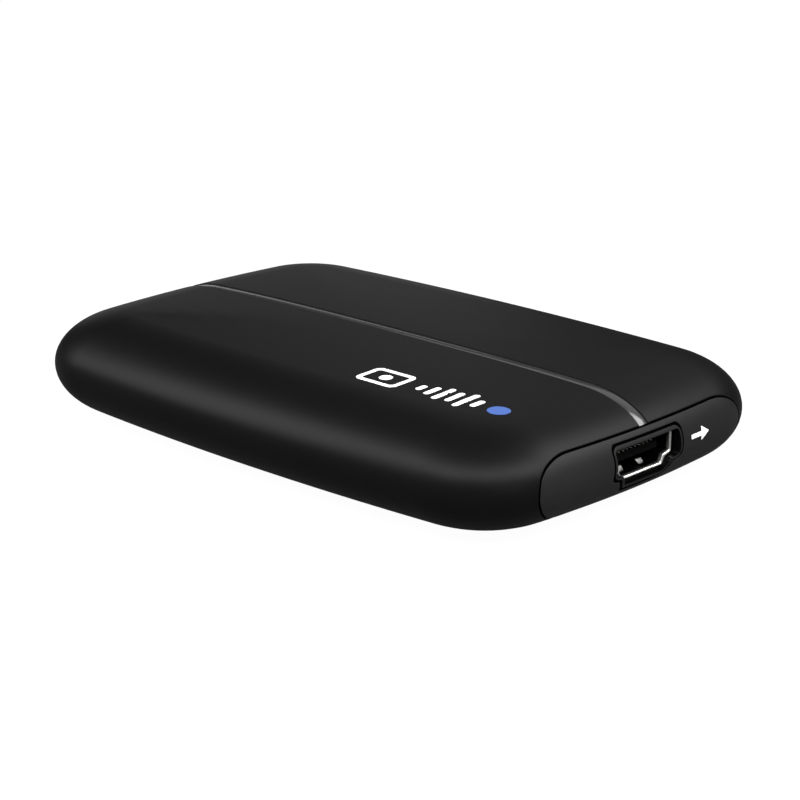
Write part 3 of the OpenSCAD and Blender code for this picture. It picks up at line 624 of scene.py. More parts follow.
def grain_group():
    """Moulded surface: fine grain for the bump, slow clouds for tone and gloss."""
    found = bpy.data.node_groups.get("Moulded surface")
    if found:
        return found
    tree, start, end = shader_group(
        "Moulded surface",
        [("Vector", "NodeSocketVector", None), ("Grain", "NodeSocketFloat", 3000.0),
         ("Clouds", "NodeSocketFloat", 60.0)],
        [("Height", "NodeSocketFloat"), ("Cloud", "NodeSocketFloat")],
    )
    vector, grain = start.outputs["Vector"], start.outputs["Grain"]
    fine = node(tree, "ShaderNodeTexNoise", {
        "Vector": vector, "Scale": grain, "Detail": 2.0, "Roughness": 0.6})
    coarse = node(tree, "ShaderNodeTexVoronoi", {"Vector": vector, "Scale": grain}, feature="F1")
    height = node(tree, "ShaderNodeMath", {
        0: fine.outputs["Fac"], 1: coarse.outputs["Distance"]}, operation="ADD")
    cloud = node(tree, "ShaderNodeTexNoise", {
        "Vector": vector, "Scale": start.outputs["Clouds"], "Detail": 4.0, "Roughness": 0.55})
    tree.links.new(height.outputs[0], end.inputs["Height"])
    tree.links.new(cloud.outputs["Fac"], end.inputs["Cloud"])
    return tree


def streak_group():
    """Rolled sheet metal: long streaks along X, and faint handling clouds."""
    found = bpy.data.node_groups.get("Rolled metal")
    if found:
        return found
    tree, start, end = shader_group(
        "Rolled metal", [("Vector", "NodeSocketVector", None)],
        [("Streak", "NodeSocketFloat"), ("Cloud", "NodeSocketFloat")],
    )
    vector = start.outputs["Vector"]
    stretched = node(tree, "ShaderNodeMapping", {"Vector": vector, "Scale": (120.0, 6000.0, 6000.0)})
    streak = node(tree, "ShaderNodeTexNoise", {
        "Vector": stretched.outputs["Vector"], "Scale": 1.0, "Detail": 3.0})
    cloud = node(tree, "ShaderNodeTexNoise", {"Vector": vector, "Scale": 400.0, "Detail": 3.0})
    tree.links.new(streak.outputs["Fac"], end.inputs["Streak"])
    tree.links.new(cloud.outputs["Fac"], end.inputs["Cloud"])
    return tree


def start_material(name):
    """A finish by name, with its tree, shader and object coordinates where it is new."""
    name += "_finish"
    found = bpy.data.materials.get(name)
    if found:
        return found, None, None, None
    found = bpy.data.materials.new(name)
    found.use_nodes = True
    tree = found.node_tree
    return found, tree, tree.nodes["Principled BSDF"], tree.nodes.new("ShaderNodeTexCoord").outputs["Object"]


def surface_group(tree, group, place):
    """Adds a surface group that reads the object coordinates."""
    surface = node(tree, "ShaderNodeGroup", {}, node_tree=group)
    tree.links.new(place, surface.inputs["Vector"])
    return surface


def close_material(tree, shader, tone, rough, height, strength, distance):
    """Links a finish's colour, roughness and relief."""
    relief = node(tree, "ShaderNodeBump", {"Height": height, "Strength": strength, "Distance": distance})
    tree.links.new(tone, shader.inputs["Base Color"])
    tree.links.new(rough, shader.inputs["Roughness"])
    tree.links.new(relief.outputs["Normal"], shader.inputs["Normal"])


def ranged(tree, value, low, high):
    """Spreads the middle of a noise over a range."""
    return node(tree, "ShaderNodeMapRange", {
        "Value": value, "From Min": 0.3, "From Max": 0.7, "To Min": low, "To Max": high}).outputs["Result"]


def toned(tree, fac, base, low, high):
    """A colour between a darker and a lighter tone of its base."""
    mix = node(tree, "ShaderNodeMix", {0: ranged(tree, fac, 0.0, 1.0)}, data_type="RGBA")
    mix.inputs["A"].default_value = (*[min(c * low, 1.0) for c in base], 1.0)
    mix.inputs["B"].default_value = (*[min(c * high, 1.0) for c in base], 1.0)
    return mix.outputs["Result"]


def with_painted_shade(tree, tone, fac, dark):
    """Painted shade: a colour that falls to a dark grey where the factor falls to 0."""
    mix = node(tree, "ShaderNodeMix", {0: fac}, data_type="RGBA")
    mix.inputs["A"].default_value = (dark, dark, dark, 1.0)
    tree.links.new(tone, mix.inputs["B"])
    return mix.outputs["Result"]


def stored_painted_shade(tree, place=None):
    """The painted shade stored on the mesh."""
    return node(tree, "ShaderNodeAttribute", {}, attribute_name="painted_shade").outputs["Fac"]


def moulded(name, base, rough, specular, grain=3000.0, clouds=60.0, bump=0.1, spread=0.12, sway=0.03,
            painted_shade=False):
    """Moulded plastic or rubber; with painted_shade set, the painted shade stored on the mesh darkens it."""
    found, tree, shader, place = start_material(name)
    if tree:
        surface = surface_group(tree, grain_group(), place)
        surface.inputs["Grain"].default_value = grain
        surface.inputs["Clouds"].default_value = clouds
        cloud = surface.outputs["Cloud"]
        tone = toned(tree, cloud, base, 1 - spread, 1 + spread)
        if painted_shade:
            # Painted shade: near black where the stored value falls to 0
            tone = with_painted_shade(tree, tone, stored_painted_shade(tree), dark=0.0006)
        rough = ranged(tree, cloud, rough - sway, rough + sway)
        close_material(tree, shader, tone, rough, surface.outputs["Height"], bump, distance=0.004 * MM)
        shader.inputs["Specular IOR Level"].default_value = specular
    return found


def plated(name, base, rough, bump=0.06, metal=1.0, painted_shade=None):
    """Plated sheet metal; painted_shade, when given, is a function of the tree and the object coordinates
    that gives the painted shade darkening it.
    """
    found, tree, shader, place = start_material(name)
    if tree:
        surface = surface_group(tree, streak_group(), place)
        streak = surface.outputs["Streak"]
        tone = toned(tree, surface.outputs["Cloud"], base, 0.92, 1.06)
        if painted_shade:
            # Painted shade: dark grey where the given function falls to 0
            tone = with_painted_shade(tree, tone, painted_shade(tree, place), dark=0.004)
        rough = ranged(tree, streak, rough - 0.05, rough + 0.07)
        close_material(tree, shader, tone, rough, streak, bump, distance=0.002 * MM)
        shader.inputs["Metallic"].default_value = metal
    return found


def board_lacquer(name, base):
    """Circuit board: lacquer over faint copper tracks."""
    found, tree, shader, place = start_material(name)
    if tree:
        tracks = node(tree, "ShaderNodeTexBrick", {
            "Vector": place, "Scale": 400.0, "Mortar Size": 0.06, "Mortar Smooth": 0.3}).outputs["Fac"]
        mix = node(tree, "ShaderNodeMix", {0: tracks}, data_type="RGBA")
        mix.inputs["A"].default_value = (*base, 1.0)
        mix.inputs["B"].default_value = (*[min(c * 2.2, 1.0) for c in base], 1.0)
        surface = surface_group(tree, grain_group(), place)
        rough = ranged(tree, surface.outputs["Cloud"], 0.28, 0.42)
        tone = mix.outputs["Result"]
        close_material(tree, shader, tone, rough, tracks, strength=0.3, distance=0.03 * MM)
    return found


def housing_finish():
    return moulded("soft_touch_black", finish_colours().shell, 0.43, 0.1, grain=5200.0, clouds=45.0,
                   bump=0.12, spread=0.05, sway=0.005)


def plate_finish():
    # The end plates and socket frames carry painted shade on their walls and inside the mouths
    return moulded("moulded_black", finish_colours().plate, 0.43, 0.1, grain=4600.0, clouds=70.0,
                   bump=0.12, spread=0.05, sway=0.01, painted_shade=True)


def guide_finish():
    return moulded("smoked_guide", finish_colours().guide, 0.16, 0.5, grain=1500.0, clouds=90.0, bump=0.02)


def nickel_finish():
    """Socket metal, darkened by the painted shade stored on the mesh."""
    return plated("nickel_plate", finish_colours().nickel, 0.34, bump=0.004, painted_shade=stored_painted_shade)


def contact_finish(name, tip):
    """Contact plating, with painted shade behind the contacts' tips; tip is their distance from the middle of
    the box.
    """
    fade = 1.6 * MM

    # Painted shade: the plating darkens over the last 1.6 mm behind the tips, and is dark further in
    def painted_shade_by_depth(tree, place):
        along = node(tree, "ShaderNodeSeparateXYZ", {"Vector": place}).outputs["X"]
        reach = node(tree, "ShaderNodeMath", {0: along}, operation="ABSOLUTE").outputs[0]
        return node(tree, "ShaderNodeMapRange", {
            "Value": reach, "From Min": tip - fade, "From Max": tip}).outputs["Result"]

    return plated(name, finish_colours().gold, 0.4, metal=0.15, painted_shade=painted_shade_by_depth)


def ink_finish(name, base):
    return moulded(name, base, 0.5, 0.3, grain=9000.0, clouds=300.0, bump=0.1, spread=0.05)


# ---------------------------------------------------------------- pieces


def panel(point, field, bound, holes, lip, depth, gap):
    """Closed sheet on a skin; bound and holes give their outlines pulled back from the edge by a distance."""
    def points(outline):
        return [point(*q) for q in outline]

    def ring(outline, off, sink):
        return [p - n * sink for p, n, _ in points(outline(off))]

    used, tris, index = lay_skin(points(field), points(bound(lip)), [points(h(lip)) for h in holes], gap)
    sheet = Moulding()
    front = sheet.skin(used, tris, 0.0)
    back = sheet.skin(used, [t[::-1] for t in tris], -depth, normals=False)
    for outline, ids in zip((bound, *holes), index):
        steps = lip_steps(lip)[1:] if lip else []
        rings = [[front[i] for i in ids]]
        rings += [sheet.add(ring(outline, off, sink)) for off, sink in steps]
        if lip:
            rings.append(sheet.add(ring(outline, 0.0, depth)))
        rings.append([back[i] for i in ids])
        for a, b in zip(rings, rings[1:]):
            sheet.strip(a, b)
    return sheet


class HousingShell:
    """Top-and-sides moulding with its end windows, the groove along the top and the ledge of the cover."""

    LIGHTS = (-29 * MM, 0.0, 29 * MM)
    SLOT = 4.1 * MM
    LEDGE_Z, INNER_Z = 1.6 * MM, 2.6 * MM
    # Mesh of the top: grid, its distance from the rim, and the close rows where the dome leaves the rounding
    GRID, GRID_X, GRID_Y = 3.2 * MM, (-48 * MM, 48.1 * MM), (-30.4 * MM, 30.5 * MM)
    GRID_CLEAR, ROWS, ROW_LEAST = 5 * MM, (0.6 * MM, 1.3 * MM, 2.2 * MM, 3.4 * MM), 1 * MM
    GROOVE_STEP, GROOVE_BACK, RISE_STEPS = 1.8 * MM, 1.2 * MM, 12
    # Mesh of the sides: points along an end, a corner and a side, rows, and the clear strip by an edge
    STATIONS, UPPER_ROWS, LOWER_ROWS, LOWER_ANGLE = (20, 18, 40), 17, 15, math.radians(74)
    EDGE_CLEAR = 0.45 * MM

    def __init__(self, z):
        self.z, self.body = z, Pillow(z)
        self.stations = self.body.stations(*self.STATIONS)
        self.edges = sorted((x + s * self.SLOT / 2 for x in self.LIGHTS for s in (-1, 1)), reverse=True)

    def groove_xs(self):
        """Places along the groove's top, the ends of the light slots among them."""
        reach = self.body.on_end(0.0, self.body.rim)[0].x - self.GROOVE_BACK
        stops = [reach, *self.edges, -reach]
        out = [reach]
        for a, b in zip(stops, stops[1:]):
            count = max(int(abs(a - b) / self.GROOVE_STEP), 1)
            out += [a + (b - a) * k / count for k in range(1, count + 1)]
        return out

    def opening(self, grow):
        """Edge of the opening as skin points: near window, groove, far window, groove."""
        z, body = self.z, self.body
        half_groove = z.groove_width / 2 + grow
        half = plate_half_outline(z, body, z.seam + grow, half_groove)
        end = [(-y, h) for y, h in half] + [(y, h) for y, h in reversed(half[:-1])]
        first = math.asin((z.plate_rise + z.seam + grow) / body.upper_h)
        rise = [body.upper_z(first + (body.RIM_ANGLE - first) * k / self.RISE_STEPS)
                for k in range(1, self.RISE_STEPS + 1)]
        over = [body.on_end(half_groove, h, 1) for h in rise]
        over += [body.on_top(x, half_groove) for x in self.groove_xs()]
        over += [body.on_end(half_groove, h, -1) for h in reversed(rise)]
        back = [(Vector((-p.x, -p.y, p.z)), Vector((-n.x, -n.y, n.z)), (-c[0], -c[1])) for p, n, c in over]
        near = [body.on_end(y, h, 1) for y, h in end]
        far = [body.on_end(-y, h, -1) for y, h in end]
        self.ends, self.run = len(near), len(over)
        return near + over + far + back

    def field(self):
        """Skin points between the edges."""
        body = self.body
        upper = [body.upper_z(a) for a in np.linspace(body.RIM_ANGLE, 0, self.UPPER_ROWS)]
        lower = [body.equator - body.lower_h * math.sin(a)
                 for a in np.linspace(0, self.LOWER_ANGLE, self.LOWER_ROWS)[1:]]
        points = [body.on_station(s, h) for h in upper + lower for s in self.stations]
        rim = np.array([body.on_station(s, body.rim)[2] for s in self.stations])
        xs, ys = np.arange(*self.GRID_X, self.GRID), np.arange(*self.GRID_Y, self.GRID)
        grid = np.array([(x, y) for x in xs for y in ys])
        keep = inside(grid, rim) & (distance(grid, rim) > self.GRID_CLEAR)
        top = []
        for inset in self.ROWS:
            for cx, cy, r, ux, uy in self.stations[::2]:
                reach = r - body.rim_inset - inset
                if reach > self.ROW_LEAST:
                    top.append((cx + reach * ux, cy + reach * uy))
        top += [tuple(g) for g in grid[keep]]
        return points + [body.on_top(x, y) for x, y in top]

    def low_ring(self, inset, height):
        """Ring inside the outline at a height."""
        return [Vector((cx + (r - inset) * ux, cy + (r - inset) * uy, height))
                for cx, cy, r, ux, uy in self.stations]

    def mesh(self):
        z, body = self.z, self.body
        shell = Moulding()
        low = body.lower_z(z.cover_inset - z.lip)
        rim = [body.on_station(s, low) for s in self.stations]
        used, tris, (rim_ids, hole_ids) = lay_skin(self.field(), rim, [self.opening(z.lip)], self.EDGE_CLEAR)
        front = shell.skin(used, tris, 0.0)
        inner = shell.skin(used, [t[::-1] for t in tris], -z.wall, normals=False)
        # The opening's rounded edge, then its walls
        count = len(hole_ids)
        rings = [[front[i] for i in hole_ids]]
        for off, sink in lip_steps(z.lip)[1:]:
            rings.append(shell.add([p - n * sink for p, n, _ in self.opening(off)]))
        n, m = self.ends, self.run
        groove = set(range(n, n + m)) | set(range(2 * n + m, count)) | {0, n - 1, n + m, 2 * n + m - 1}
        deep = shell.add([p - v * (z.groove_depth if i in groove else z.wall)
                          for i, (p, v, _) in enumerate(self.opening(0.0))])
        rings.append(deep)
        for a, b in zip(rings, rings[1:]):
            shell.strip(a, b)
        under = [inner[i] for i in hole_ids]
        for first in (0, n + m):
            ids = range(first, first + n)
            shell.strip([deep[i] for i in ids], [under[i] for i in ids], closed=False)
        # Groove floor and its underside, left open at the light slots
        plus = [n - 1, *range(n, n + m), n + m]
        minus = [0, *range(count - 1, 2 * n + m - 1, -1), 2 * n + m - 1]
        xs = [shell.points[deep[i]].x for i in plus]
        gap = [any(abs((xs[k] + xs[k + 1]) / 2 - x) < self.SLOT / 2 for x in self.LIGHTS)
               for k in range(len(xs) - 1)]
        for k, opened in enumerate(gap):
            a, b, c, d = plus[k], plus[k + 1], minus[k + 1], minus[k]
            if opened:
                shell.faces.append((deep[a], deep[b], under[b], under[a]))
                shell.faces.append((deep[d], deep[c], under[c], under[d]))
            else:
                shell.faces.append((deep[a], deep[b], deep[c], deep[d]))
                shell.faces.append((under[a], under[b], under[c], under[d]))
        for k in range(len(xs)):
            before = gap[k - 1] if k else True
            after = gap[k] if k < len(gap) else True
            if before != after:
                a, d = plus[k], minus[k]
                shell.faces.append((deep[a], deep[d], under[d], under[a]))
        # The rounded lower edge, the ledge that the cover bears on, and back to the inner skin
        rings = [[front[i] for i in rim_ids]]
        for off, sink in lip_steps(z.lip)[1:]:
            level = body.lower_z(z.cover_inset - off)
            edge = [body.on_station(s, level) for s in self.stations]
            rings.append(shell.add([p - v * sink for p, v, _ in edge]))
        inner_edge = z.cover_inset + z.cover_ledge
        ledge = ((z.cover_inset, self.LEDGE_Z), (inner_edge, self.LEDGE_Z), (inner_edge, self.INNER_Z))
        rings += [shell.add(self.low_ring(inset, height)) for inset, height in ledge]
        rings.append([inner[i] for i in rim_ids])
        for a, b in zip(rings, rings[1:]):
            shell.strip(a, b)
        return shell.mesh("housing_shell")


def end_point(body, side):
    """Skin point of an end, charted as it is seen end on."""
    def point(y, h):
        place, normal, _ = body.on_end(y, h, side)
        return place, normal, (y, h)
    return point


# Where the painted shade on a socket's metal goes from dark to none, behind its mouth
PAINTED_SHADE_X = (-0.9 * MM, -0.5 * MM)


def mouth_painted_shade(x):
    """Painted shade of a socket's metal at a distance behind its mouth: none at the rim, dark inside."""
    return float(np.interp(x, PAINTED_SHADE_X, (0.02, 1.0)))


def store_painted_shade(data, values):
    """Stores the painted shade at each point, the value by which the finish keeps its colour."""
    data.attributes.new("painted_shade", "FLOAT", "POINT").data.foreach_set("value", values)
    return data


def end_plate(side, name, holes):
    """Bowed plate filling an end window, with openings for its sockets; its walls are darkened by painted
    shade.
    """
    z = sizes()
    body = Pillow(z)
    ys, heights = np.arange(-24.3 * MM, 24.4 * MM, 0.9 * MM), np.arange(2.6 * MM, 14 * MM, 0.7 * MM)
    clear, unshaded_depth = 0.3 * MM, 0.07 * MM

    def bound(off):
        return plate_outline(z, body, -off)

    field = [(y, h) for y in ys for h in heights]
    data = panel(end_point(body, side), field, bound, holes, z.lip, z.wall, clear).mesh(name)
    depths = [side * (body.on_end(v.co.y, v.co.z, side)[0].x - v.co.x) for v in data.vertices]
    # Painted shade: only the front skin keeps its colour, the walls are painted dark
    return store_painted_shade(data, [float(depth < unshaded_depth) for depth in depths])


def socket_frame(side, y, name):
    """Frame around a video socket: face flush with the plate, flared mouth, sleeve around the metal shell."""
    z, s = sizes(), Sockets()
    body = Pillow(z)
    back, gap, front = s.mouth - 5.3 * MM, s.mouth - 1.1 * MM, s.mouth - 0.15 * MM
    rim_lip, gap_width, sleeve_edge = 0.1 * MM, 0.12 * MM, 0.05 * MM

    def flat(outline, x):
        return [Vector((side * x, y + side * a, b)) for a, b in outline]

    def face(outline, sink):
        return [p - n * sink for p, n, _ in (body.on_end(y + side * a, b, side) for a, b in outline)]

    def edge(more=0.0):
        return s.outline(s.FRAME, s.FRAME_R, more, foot=s.FRAME_FOOT)

    def rim(more=0.0):
        return s.outline(s.RIM, s.RIM_R, more, foot=s.RIM_FOOT)

    lip = lip_steps(z.lip)
    rings = [flat(edge(), back)]
    rings += [face(edge(-off), sink) for off, sink in reversed(lip)]
    rings += [face(rim(off), sink) for off, sink in lip_steps(rim_lip)]
    # A narrow gap, then the front of the sleeve that the shell sits in
    rings += [flat(rim(), gap), flat(rim(-gap_width), gap), flat(rim(-gap_width), front - sleeve_edge),
              flat(rim(-gap_width - sleeve_edge), front)]
    rings += [flat(s.outline(s.BORE, s.RIM_R), x) for x in (front, back)]
    part = Moulding()
    part.rings(rings, closed=True)
    # Painted shade: only the face keeps its colour; the outer wall and everything inside the mouth are
    # painted dark
    low, high = (len(rings[0]) * n for n in (2, 3 + len(lip)))
    return store_painted_shade(part.mesh(name, 30), [float(low <= i < high) for i in range(len(part.points))])


def cut_with(data, cutters):
    """Takes boxes (low, high) out of a mesh."""
    body = bpy.data.objects.new("cut_body", data)
    bpy.context.scene.collection.objects.link(body)
    tools = [block("cut", low, high, 0.01 * MM, 1) for low, high in cutters]
    helper = bpy.data.objects.new("cut_tool", join("cut_tool", *tools))
    bpy.context.scene.collection.objects.link(helper)
    cut = body.modifiers.new("Cut", "BOOLEAN")
    cut.operation, cut.solver, cut.object = "DIFFERENCE", "EXACT", helper
    result = plain_mesh(body, data.name + "_cut")
    bpy.data.objects.remove(helper)
    return result


def plain_mesh(piece, name):
    """The evaluated mesh of an object, which is then removed."""
    graph = bpy.context.evaluated_depsgraph_get()
    graph.update()
    data = bpy.data.meshes.new_from_object(piece.evaluated_get(graph), depsgraph=graph)
    data.name = name
    bpy.data.objects.remove(piece)
    return data


def video_shell(name):
    """Metal shell of a video socket, mouth at x = 0 facing +X: sleeve, two spring fingers, four legs."""
    s = Sockets()
    none, out = (0.0,) * 4, (s.METAL,) * 4

    def flat(outline, x):
        return [Vector((x, a, b)) for a, b in outline]

    rings = [flat(s.outline(none, s.CORNER), x) for x in (-s.DEPTH, *PAINTED_SHADE_X)]
    for grow, back in s.LIP:
        rings.append(flat(s.outline((grow * MM,) * 4, s.CORNER + grow * MM), -back * MM))
    rings.append(flat(s.outline(out, s.CORNER * 2), -s.DEPTH))
    sleeve = Moulding()
    sleeve.rings(rings, closed=True)
    half, edge = s.FINGER_W / 2, s.FINGER_EDGE
    slots = []
    for side in (-1, 1):
        low = (s.SLOT_X[0], side * s.FINGER_Y - half - s.SLOT_GAP, s.floor + s.SLOT_Z[0])
        high = (s.SLOT_X[1], side * s.FINGER_Y + half + s.SLOT_GAP, s.floor + s.SLOT_Z[1])
        slots.append((low, high))
    parts = [cut_with(sleeve.mesh(name + "_sleeve"), slots)]
    path = [(x * MM, h * MM) for x, h in s.FINGER_PATH]
    middle = sum(x for x, _ in path) / len(path)

    def narrow(x):
        return float(np.interp(x, s.NARROW_X, s.NARROW_SHARE))

    # Across a finger: place, and how far the section shrinks at the finger's rounded edges
    widths = [(-half, 0.005), (-half + edge, 0.0), (half - edge, 0.0), (half, 0.005)]
    for side in (-1, 1):
        finger = Moulding()
        ids = finger.rings([
            [Vector((x + (middle - x) * pull, side * s.FINGER_Y + w * narrow(x), s.floor + h))
             for x, h in path] for w, pull in widths])
        finger.cap(ids[0])
        finger.cap(ids[-1])
        parts.append(finger.mesh(name + "_finger", 50))
        y = side * (s.HALF + s.METAL / 2)
        parts += [board_leg(name + "_leg", x, y, s.floor + s.STEP_Z + 2 * s.METAL) for x in s.LEG_X]
    data = join(name, *parts)
    data.polygons.foreach_set("use_smooth", [True] * len(data.polygons))
    data.set_sharp_from_angle(angle=math.radians(35))

    # Painted shade inside the shell: the mouth's rim and the fingers' tips keep the metal's colour
    def painted_shade_at(p):
        finger = abs(abs(p.y) - s.FINGER_Y) < s.LIT_Y and s.LIT_Z[0] < p.z - s.floor < s.LIT_Z[1]
        return 1.0 if finger and p.x > s.LIT_X else mouth_painted_shade(p.x)

    return store_painted_shade(data, [painted_shade_at(v.co) for v in data.vertices])


def board_leg(name, x, y, top):
    """Leg of a socket's shell, from its wall down through the board."""
    s, thick = Sockets(), Sockets.METAL / 2
    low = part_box("main_board")[0].z - s.LEG_REACH
    return block(name, (x - s.LEG_HALF, y - thick, low), (x + s.LEG_HALF, y + thick, top), s.LEG_EDGE)


def data_shell():
    """Metal shell of the oval data socket with a rolled mouth and two legs."""
    s = Sockets()
    half, turns = s.METAL / 2, np.linspace(0, math.pi, 9)

    def flat(more, x):
        return [Vector((-(s.data_x + x), a, b)) for a, b in s.oval(more)]

    rings = [flat(-s.METAL, x) for x in (-s.DATA_DEPTH, -0.9 * MM, -0.4 * MM)]
    rings += [flat(-half - half * math.cos(a), half * (math.sin(a) - 1)) for a in turns]
    rings.append(flat(0.0, -s.DATA_DEPTH))
    sleeve = Moulding()
    sleeve.rings(rings, closed=True)
    parts = [sleeve.mesh("data_sleeve", 35)]
    for side in (-1, 1):
        y = s.data_y + side * (s.data_w - s.METAL) / 2
        parts.append(board_leg("data_leg", s.DATA_LEG_X - s.data_x, y, s.data_z))
    data = join("data_socket_shell", *parts)
    # Painted shade: dark inside, full colour at the rolled mouth
    return store_painted_shade(data, [mouth_painted_shade(-v.co.x - s.data_x) for v in data.vertices])


def geometry_tree(name, inputs):
    """Geometry node group with a geometry input, named inputs and one output."""
    tree = bpy.data.node_groups.new(name, "GeometryNodeTree")
    tree.interface.new_socket("Geometry", in_out="INPUT", socket_type="NodeSocketGeometry")
    for label, kind in inputs:
        tree.interface.new_socket(label, in_out="INPUT", socket_type=kind)
    tree.interface.new_socket("Geometry", in_out="OUTPUT", socket_type="NodeSocketGeometry")
    return tree, tree.nodes.new("NodeGroupInput"), tree.nodes.new("NodeGroupOutput")


def close_tree(tree, geometry, material_socket, end):
    """Ends a tree in Realize Instances and Set Material."""
    real = node(tree, "GeometryNodeRealizeInstances", {"Geometry": geometry})
    dressed = node(tree, "GeometryNodeSetMaterial", {
        "Geometry": real.outputs[0], "Material": material_socket})
    tree.links.new(dressed.outputs[0], end.inputs[0])


def run_tree(data, tree, values, name):
    """Runs a tree on a mesh, with its inputs set by identifier, and returns a plain mesh."""
    piece = bpy.data.objects.new(name + "_source", data)
    bpy.context.scene.collection.objects.link(piece)
    modifier = piece.modifiers.new("Nodes", "NODES")
    modifier.node_group = tree
    sockets = {i.name: i.identifier for i in tree.interface.items_tree
               if i.item_type == "SOCKET" and i.in_out == "INPUT"}
    for label, value in values.items():
        modifier[sockets[label]] = value
    return plain_mesh(piece, name)


def guide_tree():
    """Sweeps a bar with rounded edges along a path."""
    tree, start, end = geometry_tree("Swept bar", [
        ("Width", "NodeSocketFloat"), ("Height", "NodeSocketFloat"), ("Edge", "NodeSocketFloat"),
        ("Finish", "NodeSocketMaterial")])
    given = start.outputs
    path = node(tree, "GeometryNodeMeshToCurve", {"Mesh": given["Geometry"]})
    upright = node(tree, "GeometryNodeSetCurveNormal", {"Curve": path.outputs[0]}, mode="Z_UP")
    section = node(tree, "GeometryNodeCurvePrimitiveQuadrilateral", {
        "Width": given["Width"], "Height": given["Height"]})
    soft = node(tree, "GeometryNodeFilletCurve", {
        "Curve": section.outputs[0], "Radius": given["Edge"], "Count": 3}, mode="POLY")
    bar = node(tree, "GeometryNodeCurveToMesh", {
        "Curve": upright.outputs[0], "Profile Curve": soft.outputs[0], "Fill Caps": True})
    close_tree(tree, bar.outputs[0], given["Finish"], end)
    return tree


def pattern_tree():
    """Repeats a mesh on the corners of a rectangle."""
    tree, start, end = geometry_tree("Corner pattern", [
        ("Length", "NodeSocketFloat"), ("Width", "NodeSocketFloat"), ("Finish", "NodeSocketMaterial")])
    given = start.outputs
    grid = node(tree, "GeometryNodeMeshGrid", {
        "Size X": given["Length"], "Size Y": given["Width"], "Vertices X": 2, "Vertices Y": 2})
    copies = node(tree, "GeometryNodeInstanceOnPoints", {
        "Points": grid.outputs["Mesh"], "Instance": given["Geometry"]})
    close_tree(tree, copies.outputs[0], given["Finish"], end)
    return tree


def light_guide_mesh():
    """Bar sunk in the groove, over the top and down to both end plates, with three light posts."""
    z = sizes()
    body = Pillow(z)
    bed, edge, end_steps, top_steps = 0.05 * MM, 0.14 * MM, 24, 30
    thick = z.groove_depth - bed - z.guide_sink
    sink = z.guide_sink + thick / 2
    first = math.asin((z.plate_rise + z.seam) / body.upper_h)
    skin = [body.on_end(0.0, body.upper_z(first + (body.RIM_ANGLE - first) * k / end_steps))
            for k in range(end_steps + 1)]
    skin += [body.on_top(x, 0.0) for x in np.linspace(skin[-1][0].x, 0.0, top_steps)[1:]]
    half = [(p.x - n.x * sink, p.z - n.z * sink) for p, n, _ in skin]
    path = half + [(-x, h) for x, h in reversed(half[:-1])]
    wire = bpy.data.meshes.new("guide_path")
    wire.from_pydata([(x, 0.0, h) for x, h in path], [(i, i + 1) for i in range(len(path) - 1)], [])
    values = {"Width": z.guide_width, "Height": thick, "Edge": edge, "Finish": guide_finish()}
    bar = run_tree(wire, guide_tree(), values, "guide_bar")
    bar.polygons.foreach_set("use_smooth", [True] * len(bar.polygons))
    bar.set_sharp_from_angle(angle=math.radians(40))
    low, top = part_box("light_guide")[0].z, z.body_height - z.groove_depth + 0.15 * MM
    post_x, post_y, post_edge = 2 * MM, z.guide_width / 2 - 0.05 * MM, 0.1 * MM
    posts = [block("guide_post", (x - post_x, -post_y, low), (x + post_x, post_y, top), post_edge)
             for x in HousingShell.LIGHTS]
    return join("light_guide_bar", bar, *posts)


def feet_mesh(rubber):
    """Four round feet with a soft lower edge and a shallow dish."""
    low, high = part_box("rubber_feet")
    r, edge, dish, steps, least = 4.5 * MM, 0.5 * MM, 0.12 * MM, 48, 1e-7
    profile = [(0.0, dish), (r * 0.55, dish), (r * 0.66, 0.0), (r - edge, 0.0)]
    profile += [(r - edge + edge * math.sin(a), edge - edge * math.cos(a))
                for a in np.linspace(0, math.pi / 2, 7)[1:]]
    profile += [(r, high.z), (0.0, high.z)]
    turns = [2 * math.pi * k / steps for k in range(steps)]
    foot = Moulding()
    foot.rings([[Vector((max(d, least) * math.cos(a), max(d, least) * math.sin(a), h)) for a in turns]
                for d, h in profile])
    data = foot.mesh("foot", 50)
    bm = bmesh.new()
    bm.from_mesh(data)
    bmesh.ops.remove_doubles(bm, verts=bm.verts, dist=1e-6)
    bmesh.ops.recalc_face_normals(bm, faces=bm.faces)
    bm.to_mesh(data)
    bm.free()
    values = {"Length": high.x - low.x - 2 * r, "Width": high.y - low.y - 2 * r, "Finish": rubber}
    return run_tree(data, pattern_tree(), values, "feet")


def box_outline(x0, y0, x1, y1, r):
    """Rounded rectangle, pulled in by the asked distance; sizes in mm."""
    x0, y0, x1, y1, r = (v * MM for v in (x0, y0, x1, y1, r))

    def outline(off):
        corners = ((x1 - off, y1 - off), (x0 + off, y1 - off), (x0 + off, y0 + off), (x1 - off, y0 + off))
        return rounded([(x, y, r) for x, y in corners], 5, 10)
    return outline


def shape_outline(points, r):
    """Outline through points with rounded corners; sizes in mm."""
    def outline(off):
        return rounded([(a * MM, b * MM, r * MM) for a, b in points], 4, 6)
    return outline


def print_mark(name, point, bound, holes=()):
    """Thin printed shape lying on a skin."""
    ink = sizes().ink

    def lifted(a, b):
        place, normal, chart = point(a, b)
        return place + normal * ink, normal, chart

    step, clear, thick = 0.7 * MM, 0.2 * MM, ink * 1.5
    corners = np.array(bound(0.0))
    rows = [np.arange(low, high, step) for low, high in zip(corners.min(axis=0), corners.max(axis=0))]
    field = [(a, b) for a in rows[0] for b in rows[1]]
    return panel(lifted, field, bound, list(holes), 0.0, thick, clear).mesh(name)


# ---------------------------------------------------------------- operators


